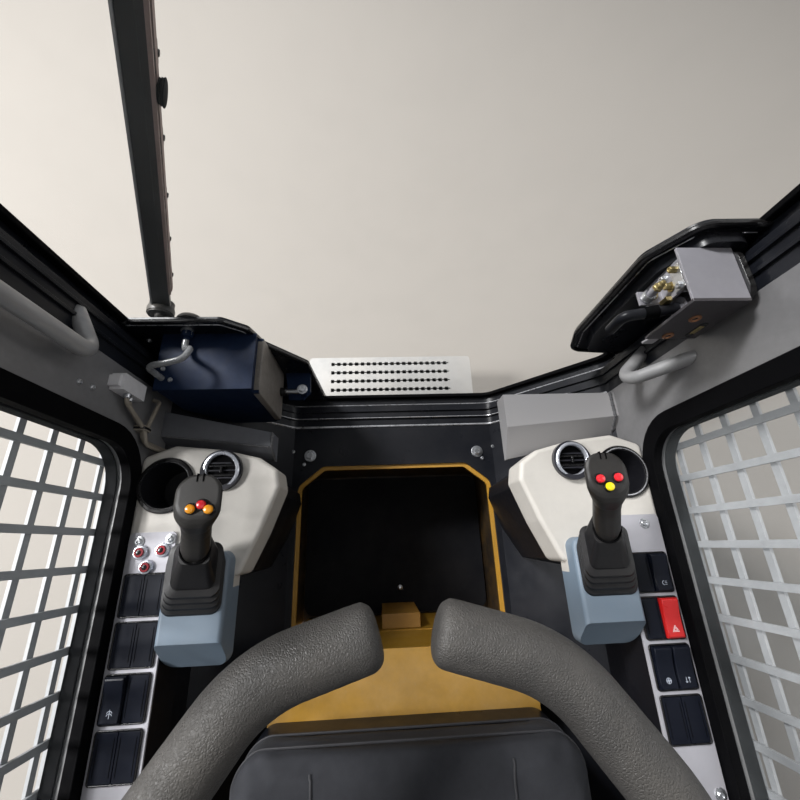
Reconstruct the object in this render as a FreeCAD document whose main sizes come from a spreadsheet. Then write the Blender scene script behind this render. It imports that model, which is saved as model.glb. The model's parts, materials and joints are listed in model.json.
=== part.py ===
import FreeCAD, Part
import math
import os
import re
import Sketcher
from FreeCAD import Placement, Rotation, Vector

# Operator's cab of a skid steer loader, in millimetres.
# +X is the operator's right, +Y is forward through the door, +Z is up.
# The origin is on the underside of the belly plate.

doc = FreeCAD.newDocument("loader_cab")

# Driving dimensions: alias, value, meaning
SIZES = (
    ("side_inner", 386, "inner face of a side wall from the middle"),
    ("side_wall", 34, "thickness of a side wall"),
    ("flat_half", 215, "half width of the flat part of the deck and sill"),
    ("sill_z", 200, "top of the sill and deck"),
    ("slope_top", 384, "height where the sloping deck meets the side wall"),
    ("head_z", 1440, "top of the door opening"),
    ("roof_z", 1500, "underside of the roof"),
    ("cab_rear", -600, "rear face of the rear frame"),
    ("rear_wall", 30, "thickness of the rear frame"),
    ("post_rear", 417, "rear face of the front frame"),
    ("post_front", 466, "front face of the front frame"),
    ("sill_drop", 88, "height of the sill below its top"),
    ("plate", 6, "thickness of the tub and seat box plate"),
    ("deck_plate", 5, "thickness of the deck plate"),
    ("tub_front", 345, "front face of the footwell tub"),
    ("seat_box_front", 20, "front face of the seat box, the riser behind the feet"),
    ("seat_box_rear", -560, "rear face of the seat box"),
    ("seat_box_z", 330, "top of the seat box"),
    ("deck_ledge", 12, "flat deck beside the foot opening"),
    ("cut_front", 333, "front edge of the foot opening"),
    ("cut_chamfer", 50, "foot opening narrower at its front edge, each side"),
    ("cut_shoulder", 292, "where the sides of the foot opening turn in"),
    ("lip", 8, "part of the tub's flange that shows in the foot opening"),
    ("mat_thick", 14, "thickness of the floor mat"),
    ("bolt_half", 180, "hold-down bolts from the middle"),
    ("bolt_line", 356, "hold-down bolts along the cab"),
    ("bolt_hole", 7, "radius of a hold-down bolt hole"),
    ("window_front", 318, "front edge of the side window opening"),
    ("window_rear", -370, "rear edge of the side window opening"),
    ("window_low", 455, "lower edge of the side window opening"),
    ("window_high", 1370, "upper edge of the side window opening"),
    ("window_round", 60, "corner radius of the side window"),
    ("glass_thick", 6, "thickness of the glass"),
    ("glass_inset", 12, "side glass behind the inner face of the wall"),
    ("glass_gap", 0.3, "gap between glass and its opening"),
    ("screen_ring", 24, "width of the screen's rim"),
    ("screen_thick", 10, "thickness of the screen's rim"),
    ("screen_lap", 30, "rim of the screen outside the window opening"),
    ("bar_wide", 9, "width of a screen bar"),
    ("bar_thick", 3.8, "thickness of a screen bar"),
    ("bar_gap", 0.4, "gap between the two layers of screen bars"),
    ("bar_pitch", 46.5, "distance between screen bars"),
    ("bar_first", 295, "foremost upright screen bar"),
    ("row_first", 464, "lowest level screen bar"),
    ("rear_half", 310, "half width of the rear window"),
    ("rear_low", 640, "lower edge of the rear window"),
    ("rear_high", 1360, "upper edge of the rear window"),
    ("roof_thick", 42, "thickness of the roof panel"),
    ("roof_lap", 8, "overhang of the roof beyond the side walls"),
    ("roof_front", 524, "front edge of the roof"),
    ("roof_bevel", 22, "bevel round the roof's upper edge"),
    ("rib_high", 10, "height of a roof rib"),
    ("rib_wide", 60, "width of a roof rib"),
    ("rib_pitch", 190, "distance between roof ribs"),
    ("liner_thick", 24, "thickness of the headliner"),
    ("liner_gap", 6, "headliner from the walls"),
    ("door_gap", 6, "gap between front frame and door"),
    ("door_thick", 25, "depth of the door frame"),
    ("door_lap", 42, "door frame outside the opening"),
    ("door_inner", 20, "inner edge of the door frame outside the opening"),
    ("door_round", 26, "corner radius of the door"),
    ("pane_edge", 6, "rim of the door frame outside the pane"),
    ("corner_thick", 8, "thickness of the door's corner plates"),
    ("hinge_out", 20, "hinge axis outside the side wall"),
    ("hinge_round", 9, "radius of the hinge barrel"),
    ("hinge_pin", 5, "radius of the hinge pin"),
    ("hinge_long", 40, "length of a hinge barrel"),
    ("hinge_ear", 8, "thickness of a hinge ear"),
    ("hinge_low", 600, "lower hinge"),
    ("hinge_high", 1250, "upper hinge"),
    ("pin_gap", 0.3, "running gap round a pin"),
    ("console_z", 440, "top of the consoles"),
    ("console_rear", -420, "rear end of the consoles"),
    ("console_strip", 318, "inner edge of the consoles beside the seat"),
    ("cover_low", 382, "lower edge of a console's moulded cover"),
    ("cover_round", 7, "radius of the cover's upper edge"),
    ("switch_join", 112, "where the cover meets the strip beside the seat"),
    ("pod_z", 466, "top of the pod that carries a joystick"),
    ("pod_low", 416, "underside of the pod"),
    ("pod_round", 6, "radius of the pod's upper edge"),
    ("pod_rear", 32, "rear end of the pod, under its slanting face"),
    ("rib_long", 4, "thickness of a rib round the door opening"),
    ("rib_proud", 4, "rib inside the door opening"),
    ("cup_x", 345, "cup holder from the middle"),
    ("cup_y", 265, "cup holder along the cab"),
    ("cup_round", 36, "outer radius of a cup holder"),
    ("cup_taper", 4, "cup holder narrower at its foot"),
    ("cup_wall", 2.5, "wall of a cup holder"),
    ("cup_deep", 56, "depth of a cup holder"),
    ("cup_flange", 3.5, "height and width of a cup holder's rim"),
    ("vent_x", 266, "air vent from the middle"),
    ("vent_y", 284, "air vent along the cab"),
    ("vent_round", 30, "outer radius of an air vent"),
    ("vent_ring", 5, "width of an air vent's ring"),
    ("vent_deep", 18, "depth of an air vent"),
    ("vent_proud", 8, "air vent above the console"),
    ("panel_thick", 3, "thickness of a switch panel"),
    ("panel_in", 318, "inner edge of a switch panel"),
    ("panel_out", 381, "outer edge of a switch panel"),
    ("panel_front", 200, "front end of a switch panel"),
    ("panel_rear", -260, "rear end of a switch panel"),
    ("switch_x", 350, "middle of a switch pair"),
    ("switch_wide", 51, "width of a switch pair"),
    ("switch_long", 49, "length of a switch"),
    ("switch_pitch", 57.5, "distance between switch rows"),
    ("switch_first", 121, "middle of the foremost switch row"),
    ("switch_seam", 1, "gap between the two halves of a pair"),
    ("switch_high", 9, "height of a raised rocker"),
    ("blank_high", 5, "height of a blank switch"),
    ("button_round", 6, "radius of a push button"),
    ("button_high", 7, "height of a push button"),
    ("boot_half", 38, "half width of a joystick boot at its foot"),
    ("boot_top_half", 18, "half width of a joystick boot at its top"),
    ("boot_high", 60, "height of a joystick boot"),
    ("boot_fold", 8, "height of one of a boot's folds"),
    ("boot_step", 1.5, "each fold of a boot narrower than the one below"),
    ("boot_x", 276, "joystick boot from the middle"),
    ("boot_y", 132, "joystick boot along the cab"),
    ("stick_lean_x", 50, "inward lean of a joystick over its height"),
    ("stick_lean_left", 96, "forward lean of the left joystick over its height"),
    ("stick_lean_right", 108, "forward lean of the right joystick over its height"),
    ("stick_top", 600, "top of a joystick"),
    ("bracket_in", 186, "inner end of a frame bracket"),
    ("bracket_z", 402, "top of a frame bracket"),
    ("bracket_high", 38, "height of a frame bracket"),
    ("seat_half", 230, "half width of the seat cushion"),
    ("seat_front", -44, "front of the seat cushion"),
    ("seat_rear", -440, "rear of the seat cushion"),
    ("seat_low", 372, "underside of the seat cushion"),
    ("seat_z", 455, "top of the seat cushion"),
    ("back_front", -415, "foot of the backrest's front"),
    ("back_thick", 88, "thickness of the backrest"),
    ("back_z", 1010, "top of the backrest"),
    ("back_lean", 24, "rearward lean of the backrest over its height"),
    ("handle_left_x", 358, "left grab handle from the middle"),
    ("handle_left_y", 388, "left grab handle along the cab"),
    ("handle_left_low", 617, "lower end of the left grab handle"),
    ("handle_right_x", 327, "right grab handle from the middle"),
    ("handle_right_y", 386, "right grab handle along the cab"),
    ("handle_right_low", 497, "lower end of the right grab handle"),
    ("handle_right_rise", 99, "rise of the right grab handle to the side wall"),
    ("handle_foot", 440, "feet of the grab handles along the cab, on the posts"),
    ("handle_high", 1230, "upper end of the left grab handle"),
    ("handle_round", 9.5, "radius of a grab handle"),
    ("handle_bend", 24, "bend radius of a grab handle"),
    ("step_half", 200, "half width of the step"),
    ("step_rear", 478, "rear edge of the step"),
    ("step_front", 615, "front edge of the step"),
    ("step_z", 145, "top of the step"),
    ("step_flange", 22, "depth of the step's folded edge"),
    ("step_plate", 5, "thickness of the step"),
    ("slot_half", 147, "half length of a toothed slot in the step"),
    ("slot_first", 505, "first toothed slot"),
    ("slot_pitch", 23, "distance between toothed slots"),
    ("slot_wide", 9, "width of a toothed slot at the roots"),
    ("tooth_deep", 3, "depth of a tooth"),
    ("tooth_pitch", 14.7, "distance between teeth"),
    ("pivot_y", -535, "lap bar axis along the cab"),
    ("pivot_z", 800, "height of the lap bar axis"),
    ("shaft_round", 15, "radius of the lap bar's cross shaft"),
    ("bearing_round", 27, "outer radius of the lap bar's bearing"),
    ("bearing_wide", 20, "width of the lap bar's bearing"),
    ("arm_round", 12.5, "radius of the lap bar's arm tube"),
    ("pad_round", 28, "radius of the lap bar's pad"),
    ("pad_z", 650, "height of the lap bar's pads"),
    ("pad_tip", 12, "edge radius of a pad's tip"),
    ("lap_shift", -11.5, "lap bar off the middle of the cab"),
    ("motor_rear", 398, "rear face of the wiper motor's housing"),
    ("motor_top", 485, "top of the wiper motor's housing"),
    ("latch_rear", 402, "rear face of the latch"),
    ("lever_x", 322, "root of the latch lever"),
    ("lever_y", 419, "latch lever along the cab"),
    ("lever_z", 657, "height of the latch lever"),
    ("lever_reach", 58, "reach of the latch lever"),
    ("lever_dip", 14, "fall of the latch lever to its bend"),
    ("lever_drop", 26, "length of the latch lever below its bend"),
    ("lever_round", 6.5, "radius of the latch lever"),
    ("cable_round", 3, "radius of a cable"),
    ("wiper_x", -359, "wiper axis from the middle"),
    ("wiper_z", 509, "height of the wiper axis"),
    ("wiper_out", 12, "wiper arm outside the pane"),
    ("wiper_long", 440, "length of the wiper arm"),
    ("blade_long", 600, "length of the wiper blade"),
    ("wiper_lean", 66.2, "angle of the parked wiper from level"),
    ("lamp_x", 320, "work lamp from the middle"),
    ("lamp_wide", 110, "width of a work lamp"),
    ("lamp_high", 74, "height of a work lamp"),
    ("lamp_deep", 62, "depth of a work lamp"),
)

NAMES = {alias for alias, _, _ in SIZES}

sheet = doc.addObject("Spreadsheet::Sheet", "Sizes")
for row, (alias, number, meaning) in enumerate(SIZES, start=1):
    sheet.set("A%d" % row, alias)
    sheet.set("B%d" % row, str(number))
    sheet.set("C%d" % row, meaning)
    sheet.setAlias("B%d" % row, alias)
doc.recompute()


def ref(text):
    """An expression with each alias read from the sheet."""
    return re.sub(r"[a-z_]+", lambda m: "Sizes." + m.group(0) if m.group(0) in NAMES else m.group(0), str(text))


def val(text):
    """The number that an expression gives now."""
    return float(sheet.evalExpression(ref(text)))


def bind(item, **props):
    """Tie properties to expressions; two underscores stand for a dot."""
    for prop, text in props.items():
        item.setExpression(prop.replace("__", "."), ref(text))
    return item


def place(item, across=None, along=None, up=None):
    for axis, text in (("x", across), ("y", along), ("z", up)):
        if text is not None:
            item.setExpression("Placement.Base." + axis, ref(text))
    return item


def box(name, across, along, up, wide, long, high):
    """A block from its lowest corner and its three sizes."""
    item = doc.addObject("Part::Box", name)
    bind(item, Length=wide, Width=long, Height=high)
    return place(item, across, along, up)


def span(name, x_low, x_high, y_low, y_high, z_low, z_high):
    """A block between two corners."""
    return box(name, x_low, y_low, z_low, "(%s) - (%s)" % (x_high, x_low),
               "(%s) - (%s)" % (y_high, y_low), "(%s) - (%s)" % (z_high, z_low))


def rod(name, radius, length, across, along, up, axis="Z"):
    """A cylinder from the middle of its first end."""
    item = doc.addObject("Part::Cylinder", name)
    bind(item, Radius=radius, Height=length)
    turn = {"X": Rotation(Vector(0, 1, 0), 90), "Y": Rotation(Vector(1, 0, 0), -90), "Z": Rotation()}
    item.Placement = Placement(Vector(), turn[axis])
    return place(item, across, along, up)


def cut(name, base, *tools):
    tool = tools[0] if len(tools) == 1 else fuse(name + "_tools", *tools)
    item = doc.addObject("Part::Cut", name)
    item.Base = base
    item.Tool = tool
    return item


def fuse(name, *pieces):
    item = doc.addObject("Part::MultiFuse", name)
    item.Shapes = list(pieces)
    return item


def common(name, *pieces):
    item = doc.addObject("Part::MultiCommon", name)
    item.Shapes = list(pieces)
    return item


def group(name, *pieces):
    item = doc.addObject("Part::Compound", name)
    item.Links = list(pieces)
    return item


def shaped(name, shape):
    item = doc.addObject("Part::Feature", name)
    item.Shape = shape
    return item


def origin_plane(body, role):
    return [feature for feature in body.Origin.OriginFeatures if feature.Role == role][0]


def loop(sketch, outline):
    """A closed outline whose corners are each held by two driven distances."""
    first = sketch.GeometryCount
    count = len(outline)
    corners = [Vector(val(u), val(v), 0) for u, v in outline]
    for k in range(count):
        sketch.addGeometry(Part.LineSegment(corners[k], corners[(k + 1) % count]))
    for k in range(count):
        sketch.addConstraint(Sketcher.Constraint("Coincident", first + k, 2, first + (k + 1) % count, 1))
    for k, (u, v) in enumerate(outline):
        for kind, text, number in (("DistanceX", u, corners[k].x), ("DistanceY", v, corners[k].y)):
            held = sketch.addConstraint(Sketcher.Constraint(kind, -1, 1, first + k, 1, number))
            sketch.setExpression("Constraints[%d]" % held, ref(text))


# The axes along, up and out of each plane
PLANES = {"XY_Plane": "xyz", "XZ_Plane": "xzy", "YZ_Plane": "yzx"}


def panel(name, plane, outline, start, depth, holes=(), corner=None, hole_corner=None, brim=None, turned=None):
    """A plate from an outline in one plane, thick along the third axis from start.

    corner rounds the outline's upright edges, or only those of turned; brim rounds its far face's edge."""
    body = doc.addObject("PartDesign::Body", name)
    sketch = body.newObject("Sketcher::SketchObject", name + "_outline")
    sketch.AttachmentSupport = [(origin_plane(body, plane), "")]
    sketch.MapMode = "FlatFace"
    for wire in (outline,) + tuple(holes):
        loop(sketch, wire)
    pad = body.newObject("PartDesign::Pad", name + "_pad")
    pad.Profile = sketch
    pad.Reversed = plane == "XZ_Plane"
    pad.setExpression("Length", ref(depth))
    body.setExpression("Placement.Base." + PLANES[plane][-1], ref(start))
    doc.recompute()
    for tag, wires, radius in (("outer", (turned or outline,), corner), ("inner", tuple(holes), hole_corner)):
        if radius is None:
            continue
        points = [(val(u), val(v)) for wire in wires for u, v in wire]
        fillet(body, name + "_" + tag + "_round", corner_edges(body.Tip.Shape, plane, points), radius)
    if brim is not None:
        fillet(body, name + "_brim", level_edges(body.Tip.Shape, PLANES[plane][-1], val(depth)), brim)
    return body


def fillet(body, name, edges, radius):
    """Round the named edges of a body's last feature."""
    base = body.Tip
    rounded = body.newObject("PartDesign::Fillet", name)
    rounded.Base = (base, edges)
    rounded.setExpression("Radius", ref(radius))
    body.Tip = rounded
    doc.recompute()


def level_edges(shape, axis, level):
    """Names of the edges that lie at one place along an axis."""
    return ["Edge%d" % number for number, edge in enumerate(shape.Edges, start=1)
            if all(abs(getattr(vertex.Point, axis) - level) < 0.01 for vertex in edge.Vertexes)]


def corner_edges(shape, plane, points):
    """Names of the straight edges that stand on an outline's corners."""
    across, up, _ = PLANES[plane]
    names = []
    for number, edge in enumerate(shape.Edges, start=1):
        ends = [(getattr(vertex.Point, across), getattr(vertex.Point, up)) for vertex in edge.Vertexes]
        if len(ends) != 2 or math.dist(*ends) > 0.001:
            continue
        if any(math.dist(ends[0], point) < 0.01 for point in points):
            names.append("Edge%d" % number)
    return names


def mirrored(outline, side):
    """The same outline on the left for side -1 or on the right for side 1."""
    return [("%d * (%s)" % (side, u), v) for u, v in outline]


def rectangle(u_low, u_high, v_low, v_high):
    return [(u_low, v_low), (u_high, v_low), (u_high, v_high), (u_low, v_high)]


SLOPE = "atan((slope_top - sill_z) / (side_inner - flat_half))"
# Half width of the foot opening and the seat box, and of the opening's front edge
CUT_HALF = "(flat_half - deck_ledge)"
CUT_FRONT_HALF = "(flat_half - deck_ledge - cut_chamfer)"


def opening(offset, top=None):
    """The door opening's outline, moved outward by an offset."""
    low_x = "flat_half + (%s) * tan(%s / 2)" % (offset, SLOPE)
    low_z = "sill_z - (%s)" % offset
    side = "side_inner + (%s)" % offset
    side_z = "slope_top - (%s) * tan((90 deg - %s) / 2)" % (offset, SLOPE)
    head = top or "head_z + (%s)" % offset
    right = [(low_x, low_z), (side, side_z), (side, head)]
    return right + [("-(%s)" % u, v) for u, v in reversed(right)]


def frame_outline(offset):
    """The outer outline of the front and rear frames, with the deep sill."""
    foot = "flat_half + ((%s) / cos(%s) - sill_drop) / tan(%s)" % (offset, SLOPE, SLOPE)
    side = "side_inner + (%s)" % offset
    side_z = "slope_top - (%s) * tan((90 deg - %s) / 2)" % (offset, SLOPE)
    right = [(foot, "sill_z - sill_drop"), (side, side_z), (side, "roof_z")]
    return right + [("-(%s)" % u, v) for u, v in reversed(right)]


def path(points, radii):
    """A wire of straight runs with an arc of its own radius at each inner point."""
    edges = []
    start = Vector(*points[0])
    for k in range(1, len(points) - 1):
        corner = Vector(*points[k])
        back = (Vector(*points[k - 1]) - corner).normalize()
        ahead = (Vector(*points[k + 1]) - corner).normalize()
        half = math.acos(max(-1, min(1, back.dot(ahead)))) / 2
        reach = radii[k - 1] / math.tan(half)
        enter = corner + back * reach
        leave = corner + ahead * reach
        centre = corner + (back + ahead).normalize() * (radii[k - 1] / math.sin(half))
        middle = centre + (corner - centre).normalize() * radii[k - 1]
        if (enter - start).Length > 0.01:
            edges.append(Part.LineSegment(start, enter).toShape())
        edges.append(Part.Arc(enter, middle, leave).toShape())
        start = leave
    edges.append(Part.LineSegment(start, Vector(*points[-1])).toShape())
    return Part.Wire(edges)


def tube(points, radii, radius):
    """A solid round bar along a path."""
    spine = path(points, radii)
    first = spine.Edges[0]
    circle = Part.Circle(first.valueAt(first.FirstParameter), first.tangentAt(first.FirstParameter), radius)
    return spine.makePipeShell([Part.Wire(circle.toShape())], True, True)


def rounded_section(centre, half_x, half_y, radius):
    """A level rectangle with round corners, as a wire."""
    cx, cy, cz = centre
    edges = []
    for k, (sx, sy) in enumerate(((1, 1), (-1, 1), (-1, -1), (1, -1))):
        mid = Vector(cx + sx * (half_x - radius), cy + sy * (half_y - radius), cz)
        turns = [math.pi / 2 * (k + share) for share in (0, 0.5, 1)]
        ends = [mid + Vector(radius * math.cos(turn), radius * math.sin(turn), 0) for turn in turns]
        edges.append(Part.Arc(*ends).toShape())
    wire = []
    for k, arc in enumerate(edges):
        wire.append(arc)
        after = edges[(k + 1) % 4]
        wire.append(Part.LineSegment(arc.Vertexes[-1].Point, after.Vertexes[0].Point).toShape())
    return Part.Wire(wire)


parts = {}


def keep(name, item):
    """Name a finished sub-part; its label is its file's name."""
    item.Label = name
    parts[name] = item


# Tub, seat box and deck


def build_tub():
    shell = cut("tub_shell",
                span("tub_block", "-flat_half - plate", "flat_half + plate", "seat_box_front - plate", "tub_front",
                     "0", "sill_z - deck_plate"),
                span("tub_room", "-flat_half", "flat_half", "seat_box_front - 2 * plate", "tub_front - plate",
                     "plate", "sill_z"))
    belly = span("belly_plate", "-flat_half - plate", "flat_half + plate", "cab_rear + rear_wall", "tub_front",
                 "0", "plate")
    flange = panel("tub_flange", "XY_Plane",
                   rectangle("-flat_half - plate", "flat_half + plate", "seat_box_front", "tub_front"),
                   "sill_z - deck_plate - plate", "plate", holes=(foot_outline("lip"),), hole_corner="14")
    keep("footwell_tub", fuse("footwell_tub", shell, belly, flange))


def foot_outline(inset):
    """The trapezoid foot opening, made smaller by an inset."""
    right = [(CUT_HALF + " - (%s)" % inset, "seat_box_front + 1"),
             (CUT_HALF + " - (%s)" % inset, "cut_shoulder - (%s) / 2" % inset),
             (CUT_FRONT_HALF + " - (%s) / 2" % inset, "cut_front - (%s)" % inset)]
    return right + [("-(%s)" % u, v) for u, v in reversed(right)]


def build_seat_box():
    block = span("seat_block", "-" + CUT_HALF, CUT_HALF, "seat_box_rear", "seat_box_front", "plate", "seat_box_z")
    room = span("seat_room", "-%s + plate" % CUT_HALF, CUT_HALF + " - plate", "seat_box_rear + plate",
                "seat_box_front - plate", "plate", "seat_box_z - plate")
    keep("seat_box", cut("seat_box", block, room))


def build_mat():
    outline = rectangle("-flat_half + 4", "flat_half - 4", "seat_box_front + 6", "tub_front - plate - 6")
    keep("floor_mat", panel("floor_mat", "XY_Plane", outline, "plate", "mat_thick", corner="24"))


def build_deck():
    drop = "deck_plate / cos(%s)" % SLOPE
    low = "flat_half + deck_plate * tan(%s / 2)" % SLOPE
    right = [("flat_half", "sill_z"), ("side_inner", "slope_top"), ("side_inner", "slope_top - %s" % drop),
             (low, "sill_z - deck_plate")]
    outline = right + [("-(%s)" % u, v) for u, v in reversed(right)]
    deck = panel("deck_sheet", "XZ_Plane", outline, "cab_rear + rear_wall", "post_rear - cab_rear - rear_wall")
    edge = [(CUT_HALF, "seat_box_rear"), (CUT_HALF, "cut_shoulder"), (CUT_FRONT_HALF, "cut_front")]
    turned = [(sign + "(%s)" % u, v) for sign in ("", "-") for u, v in edge[1:]]
    foot = panel("foot_cutter", "XY_Plane", edge + [("-(%s)" % u, v) for u, v in reversed(edge)],
                 "sill_z - 50", "100", corner="20", turned=turned)
    holes = [rod("deck_hole_%d" % k, "bolt_hole", "100", "%d * bolt_half" % side, "bolt_line", "sill_z - 50")
             for k, side in enumerate((-1, 1))]
    keep("cab_deck", cut("cab_deck", deck, foot, *holes))


# Frames, windows and roof


def build_frames():
    front = panel("front_ring", "XZ_Plane", frame_outline("side_wall"), "post_rear", "post_front - post_rear",
                  holes=(opening("0"),), hole_corner="door_round")
    ribs = [panel("front_rib_%d" % k, "XZ_Plane", opening("2"), start, "rib_long", holes=(opening("-rib_proud"),),
                  corner="door_round + 2", hole_corner="door_round - rib_proud")
            for k, start in enumerate(("post_rear + 18", "post_front - 14"))]
    keep("front_frame", fuse("front_frame", front, *ribs))
    keep("door_seal", panel("door_seal", "XZ_Plane", opening("door_inner + 16"), "post_front",
                            "door_gap - glass_gap", holes=(opening("door_inner + 4"),),
                            corner="door_round + door_inner + 16", hole_corner="door_round + door_inner + 4"))
    window = rectangle("-rear_half", "rear_half", "rear_low", "rear_high")
    rear = panel("rear_frame", "XZ_Plane", frame_outline("side_wall"), "cab_rear", "rear_wall",
                 holes=(window,), hole_corner="window_round")
    keep("rear_frame", rear)
    glass = rectangle("-rear_half + glass_gap", "rear_half - glass_gap", "rear_low + glass_gap",
                      "rear_high - glass_gap")
    keep("rear_window", panel("rear_window", "XZ_Plane", glass, "cab_rear + glass_inset", "glass_thick",
                              corner="window_round"))


def build_side(tag, side):
    outline = rectangle("cab_rear + rear_wall", "post_rear",
                        "slope_top - side_wall * tan((90 deg - %s) / 2)" % SLOPE, "roof_z")
    window = rectangle("window_rear", "window_front", "window_low", "window_high")
    start = "side_inner" if side > 0 else "-side_inner - side_wall"
    wall = panel("side_wall_" + tag, "YZ_Plane", outline, start, "side_wall", holes=(window,),
                 hole_corner="window_round")
    inner = "side_inner - bearing_wide" if side > 0 else "-side_inner"
    boss = cut("bearing_" + tag,
               rod("bearing_ring_" + tag, "bearing_round", "bearing_wide", inner, "pivot_y", "pivot_z", "X"),
               rod("bearing_bore_" + tag, "shaft_round + pin_gap", "bearing_wide", inner, "pivot_y", "pivot_z", "X"))
    keep("side_frame_" + tag, fuse("side_frame_" + tag, wall, boss))
    pane = rectangle("window_rear + glass_gap", "window_front - glass_gap", "window_low + glass_gap",
                     "window_high - glass_gap")
    start = "side_inner + glass_inset" if side > 0 else "-side_inner - glass_inset - glass_thick"
    keep("side_glass_" + tag, panel("side_glass_" + tag, "YZ_Plane", pane, start, "glass_thick",
                                    corner="window_round"))


def build_screen(tag, side):
    low_y = "window_rear - screen_lap"
    high_y = "window_front + screen_lap"
    low_z = "window_low - screen_lap"
    high_z = "window_high + screen_lap"
    face = "side_inner + side_wall"
    start = face if side > 0 else "-(%s) - screen_thick" % face
    inner = rectangle(low_y + " + screen_ring", high_y + " - screen_ring", low_z + " + screen_ring",
                      high_z + " - screen_ring")
    rim = panel("screen_rim_" + tag, "YZ_Plane", rectangle(low_y, high_y, low_z, high_z), start, "screen_thick",
                holes=(inner,), corner="30")
    near = "%s + screen_thick / 2 - bar_gap / 2 - bar_thick" % face
    far = "%s + screen_thick / 2 + bar_gap / 2" % face
    bars = []
    uprights = int((val("bar_first") - val(low_y + " + screen_ring")) / val("bar_pitch")) + 1
    for k in range(uprights):
        middle = "bar_first - %d * bar_pitch" % k
        bars.append(screen_bar("upright_%s_%d" % (tag, k), side, near,
                               "%s - bar_wide / 2" % middle, "%s + bar_wide / 2" % middle,
                               low_z + " + screen_ring / 2", high_z + " - screen_ring / 2"))
    levels = int((val(high_z + " - screen_ring") - val("row_first")) / val("bar_pitch")) + 1
    for k in range(levels):
        middle = "row_first + %d * bar_pitch" % k
        bars.append(screen_bar("level_%s_%d" % (tag, k), side, far, low_y + " + screen_ring / 2",
                               high_y + " - screen_ring / 2", "%s - bar_wide / 2" % middle,
                               "%s + bar_wide / 2" % middle))
    keep("side_screen_" + tag, fuse("side_screen_" + tag, rim, *bars))


def screen_bar(name, side, inner, y_low, y_high, z_low, z_high):
    across = inner if side > 0 else "-(%s) - bar_thick" % inner
    return box(name, across, y_low, z_low, "bar_thick", "(%s) - (%s)" % (y_high, y_low),
               "(%s) - (%s)" % (z_high, z_low))


def build_roof():
    half_x = val("side_inner + side_wall + roof_lap")
    half_y = val("roof_front - cab_rear + roof_lap") / 2
    middle_y = val("roof_front + cab_rear - roof_lap") / 2
    bevel = val("roof_bevel")
    sections = [rounded_section((0, middle_y, val("roof_z") + up), half_x - inset, half_y - inset, 60 - inset)
                for up, inset in ((0, 0), (val("roof_thick") - bevel, 0), (val("roof_thick"), bevel))]
    slab = shaped("roof_slab", Part.makeLoft(sections, True, True))
    ribs = []
    for k in (-1, 0, 1):
        middle = "%d * rib_pitch" % k
        ribs.append(panel("roof_rib_%d" % (k + 1), "XY_Plane",
                          rectangle("%s - rib_wide / 2" % middle, "%s + rib_wide / 2" % middle,
                                    "cab_rear + 90", "roof_front - 170"),
                          "roof_z + roof_thick", "rib_high", corner="28"))
    keep("roof", fuse("roof", slab, *ribs))
    outline = rectangle("-side_inner + liner_gap", "side_inner - liner_gap", "cab_rear + rear_wall + liner_gap",
                        "post_rear - liner_gap")
    keep("headliner", panel("headliner", "XY_Plane", outline, "roof_z - liner_thick", "liner_thick", corner="30"))


# Consoles and controls


# Outline of a console's moulded cover, and of the base that stands back under it: place across and along
COVER = (("side_inner", "switch_join"), ("side_inner", "308"), ("341", "325"), ("270", "317"), ("214", "303"),
         ("186", "284"), ("181", "258"), ("203", "196"), ("228", "140"), ("300", "126"),
         ("console_strip", "switch_join"))
BASE = (("side_inner", "console_rear"), ("side_inner", "300"), ("341", "313"), ("274", "305"), ("224", "293"),
        ("198", "277"), ("194", "256"), ("216", "194"), ("240", "140"), ("308", "122"), ("326", "106"),
        ("326", "console_rear"))


def below_slope(name, side):
    """Everything under the sloping deck on one side, as a cutter."""
    return panel(name, "XZ_Plane",
                 mirrored([("flat_half - 60", "sill_z - 60 * tan(%s)" % SLOPE),
                           ("side_inner + 20", "slope_top + 20 * tan(%s)" % SLOPE),
                           ("side_inner + 20", "sill_z - 80")], side),
                 "console_rear - 10", "900")


def build_console(tag, side):
    cover = panel("console_cover_" + tag, "XY_Plane", mirrored(COVER, side), "cover_low", "console_z - cover_low",
                  corner="12", brim="cover_round")
    pod_block = panel("pod_block_" + tag, "XY_Plane",
                      mirrored(rectangle("boot_x - boot_half - 4", "boot_x + boot_half + 2", "pod_rear",
                                         "boot_y + boot_half + 2"), side),
                      "pod_low", "pod_z - pod_low", corner="14", brim="pod_round")
    pod_slant = panel("pod_slant_" + tag, "YZ_Plane",
                      [("pod_rear - 8", "pod_low"), ("pod_rear + 37", "pod_z + 5"), ("pod_rear - 8", "pod_z + 5")],
                      "%d * boot_x - 60" % side, "120")
    pod = cut("console_pod_" + tag, pod_block, pod_slant)
    cup = rod("cup_hole_" + tag, "cup_round + glass_gap", "200", "%d * cup_x" % side, "cup_y",
              "console_z - cup_deep - cup_wall - glass_gap")
    vent = rod("vent_hole_" + tag, "vent_round - vent_ring + glass_gap", "200", "%d * vent_x" % side, "vent_y",
               "console_z - vent_deep")
    slope = below_slope("cover_slope_" + tag, side)
    keep("console_" + tag, cut("console_" + tag, fuse("console_body_" + tag, cover, pod), slope, cup, vent))


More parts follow.
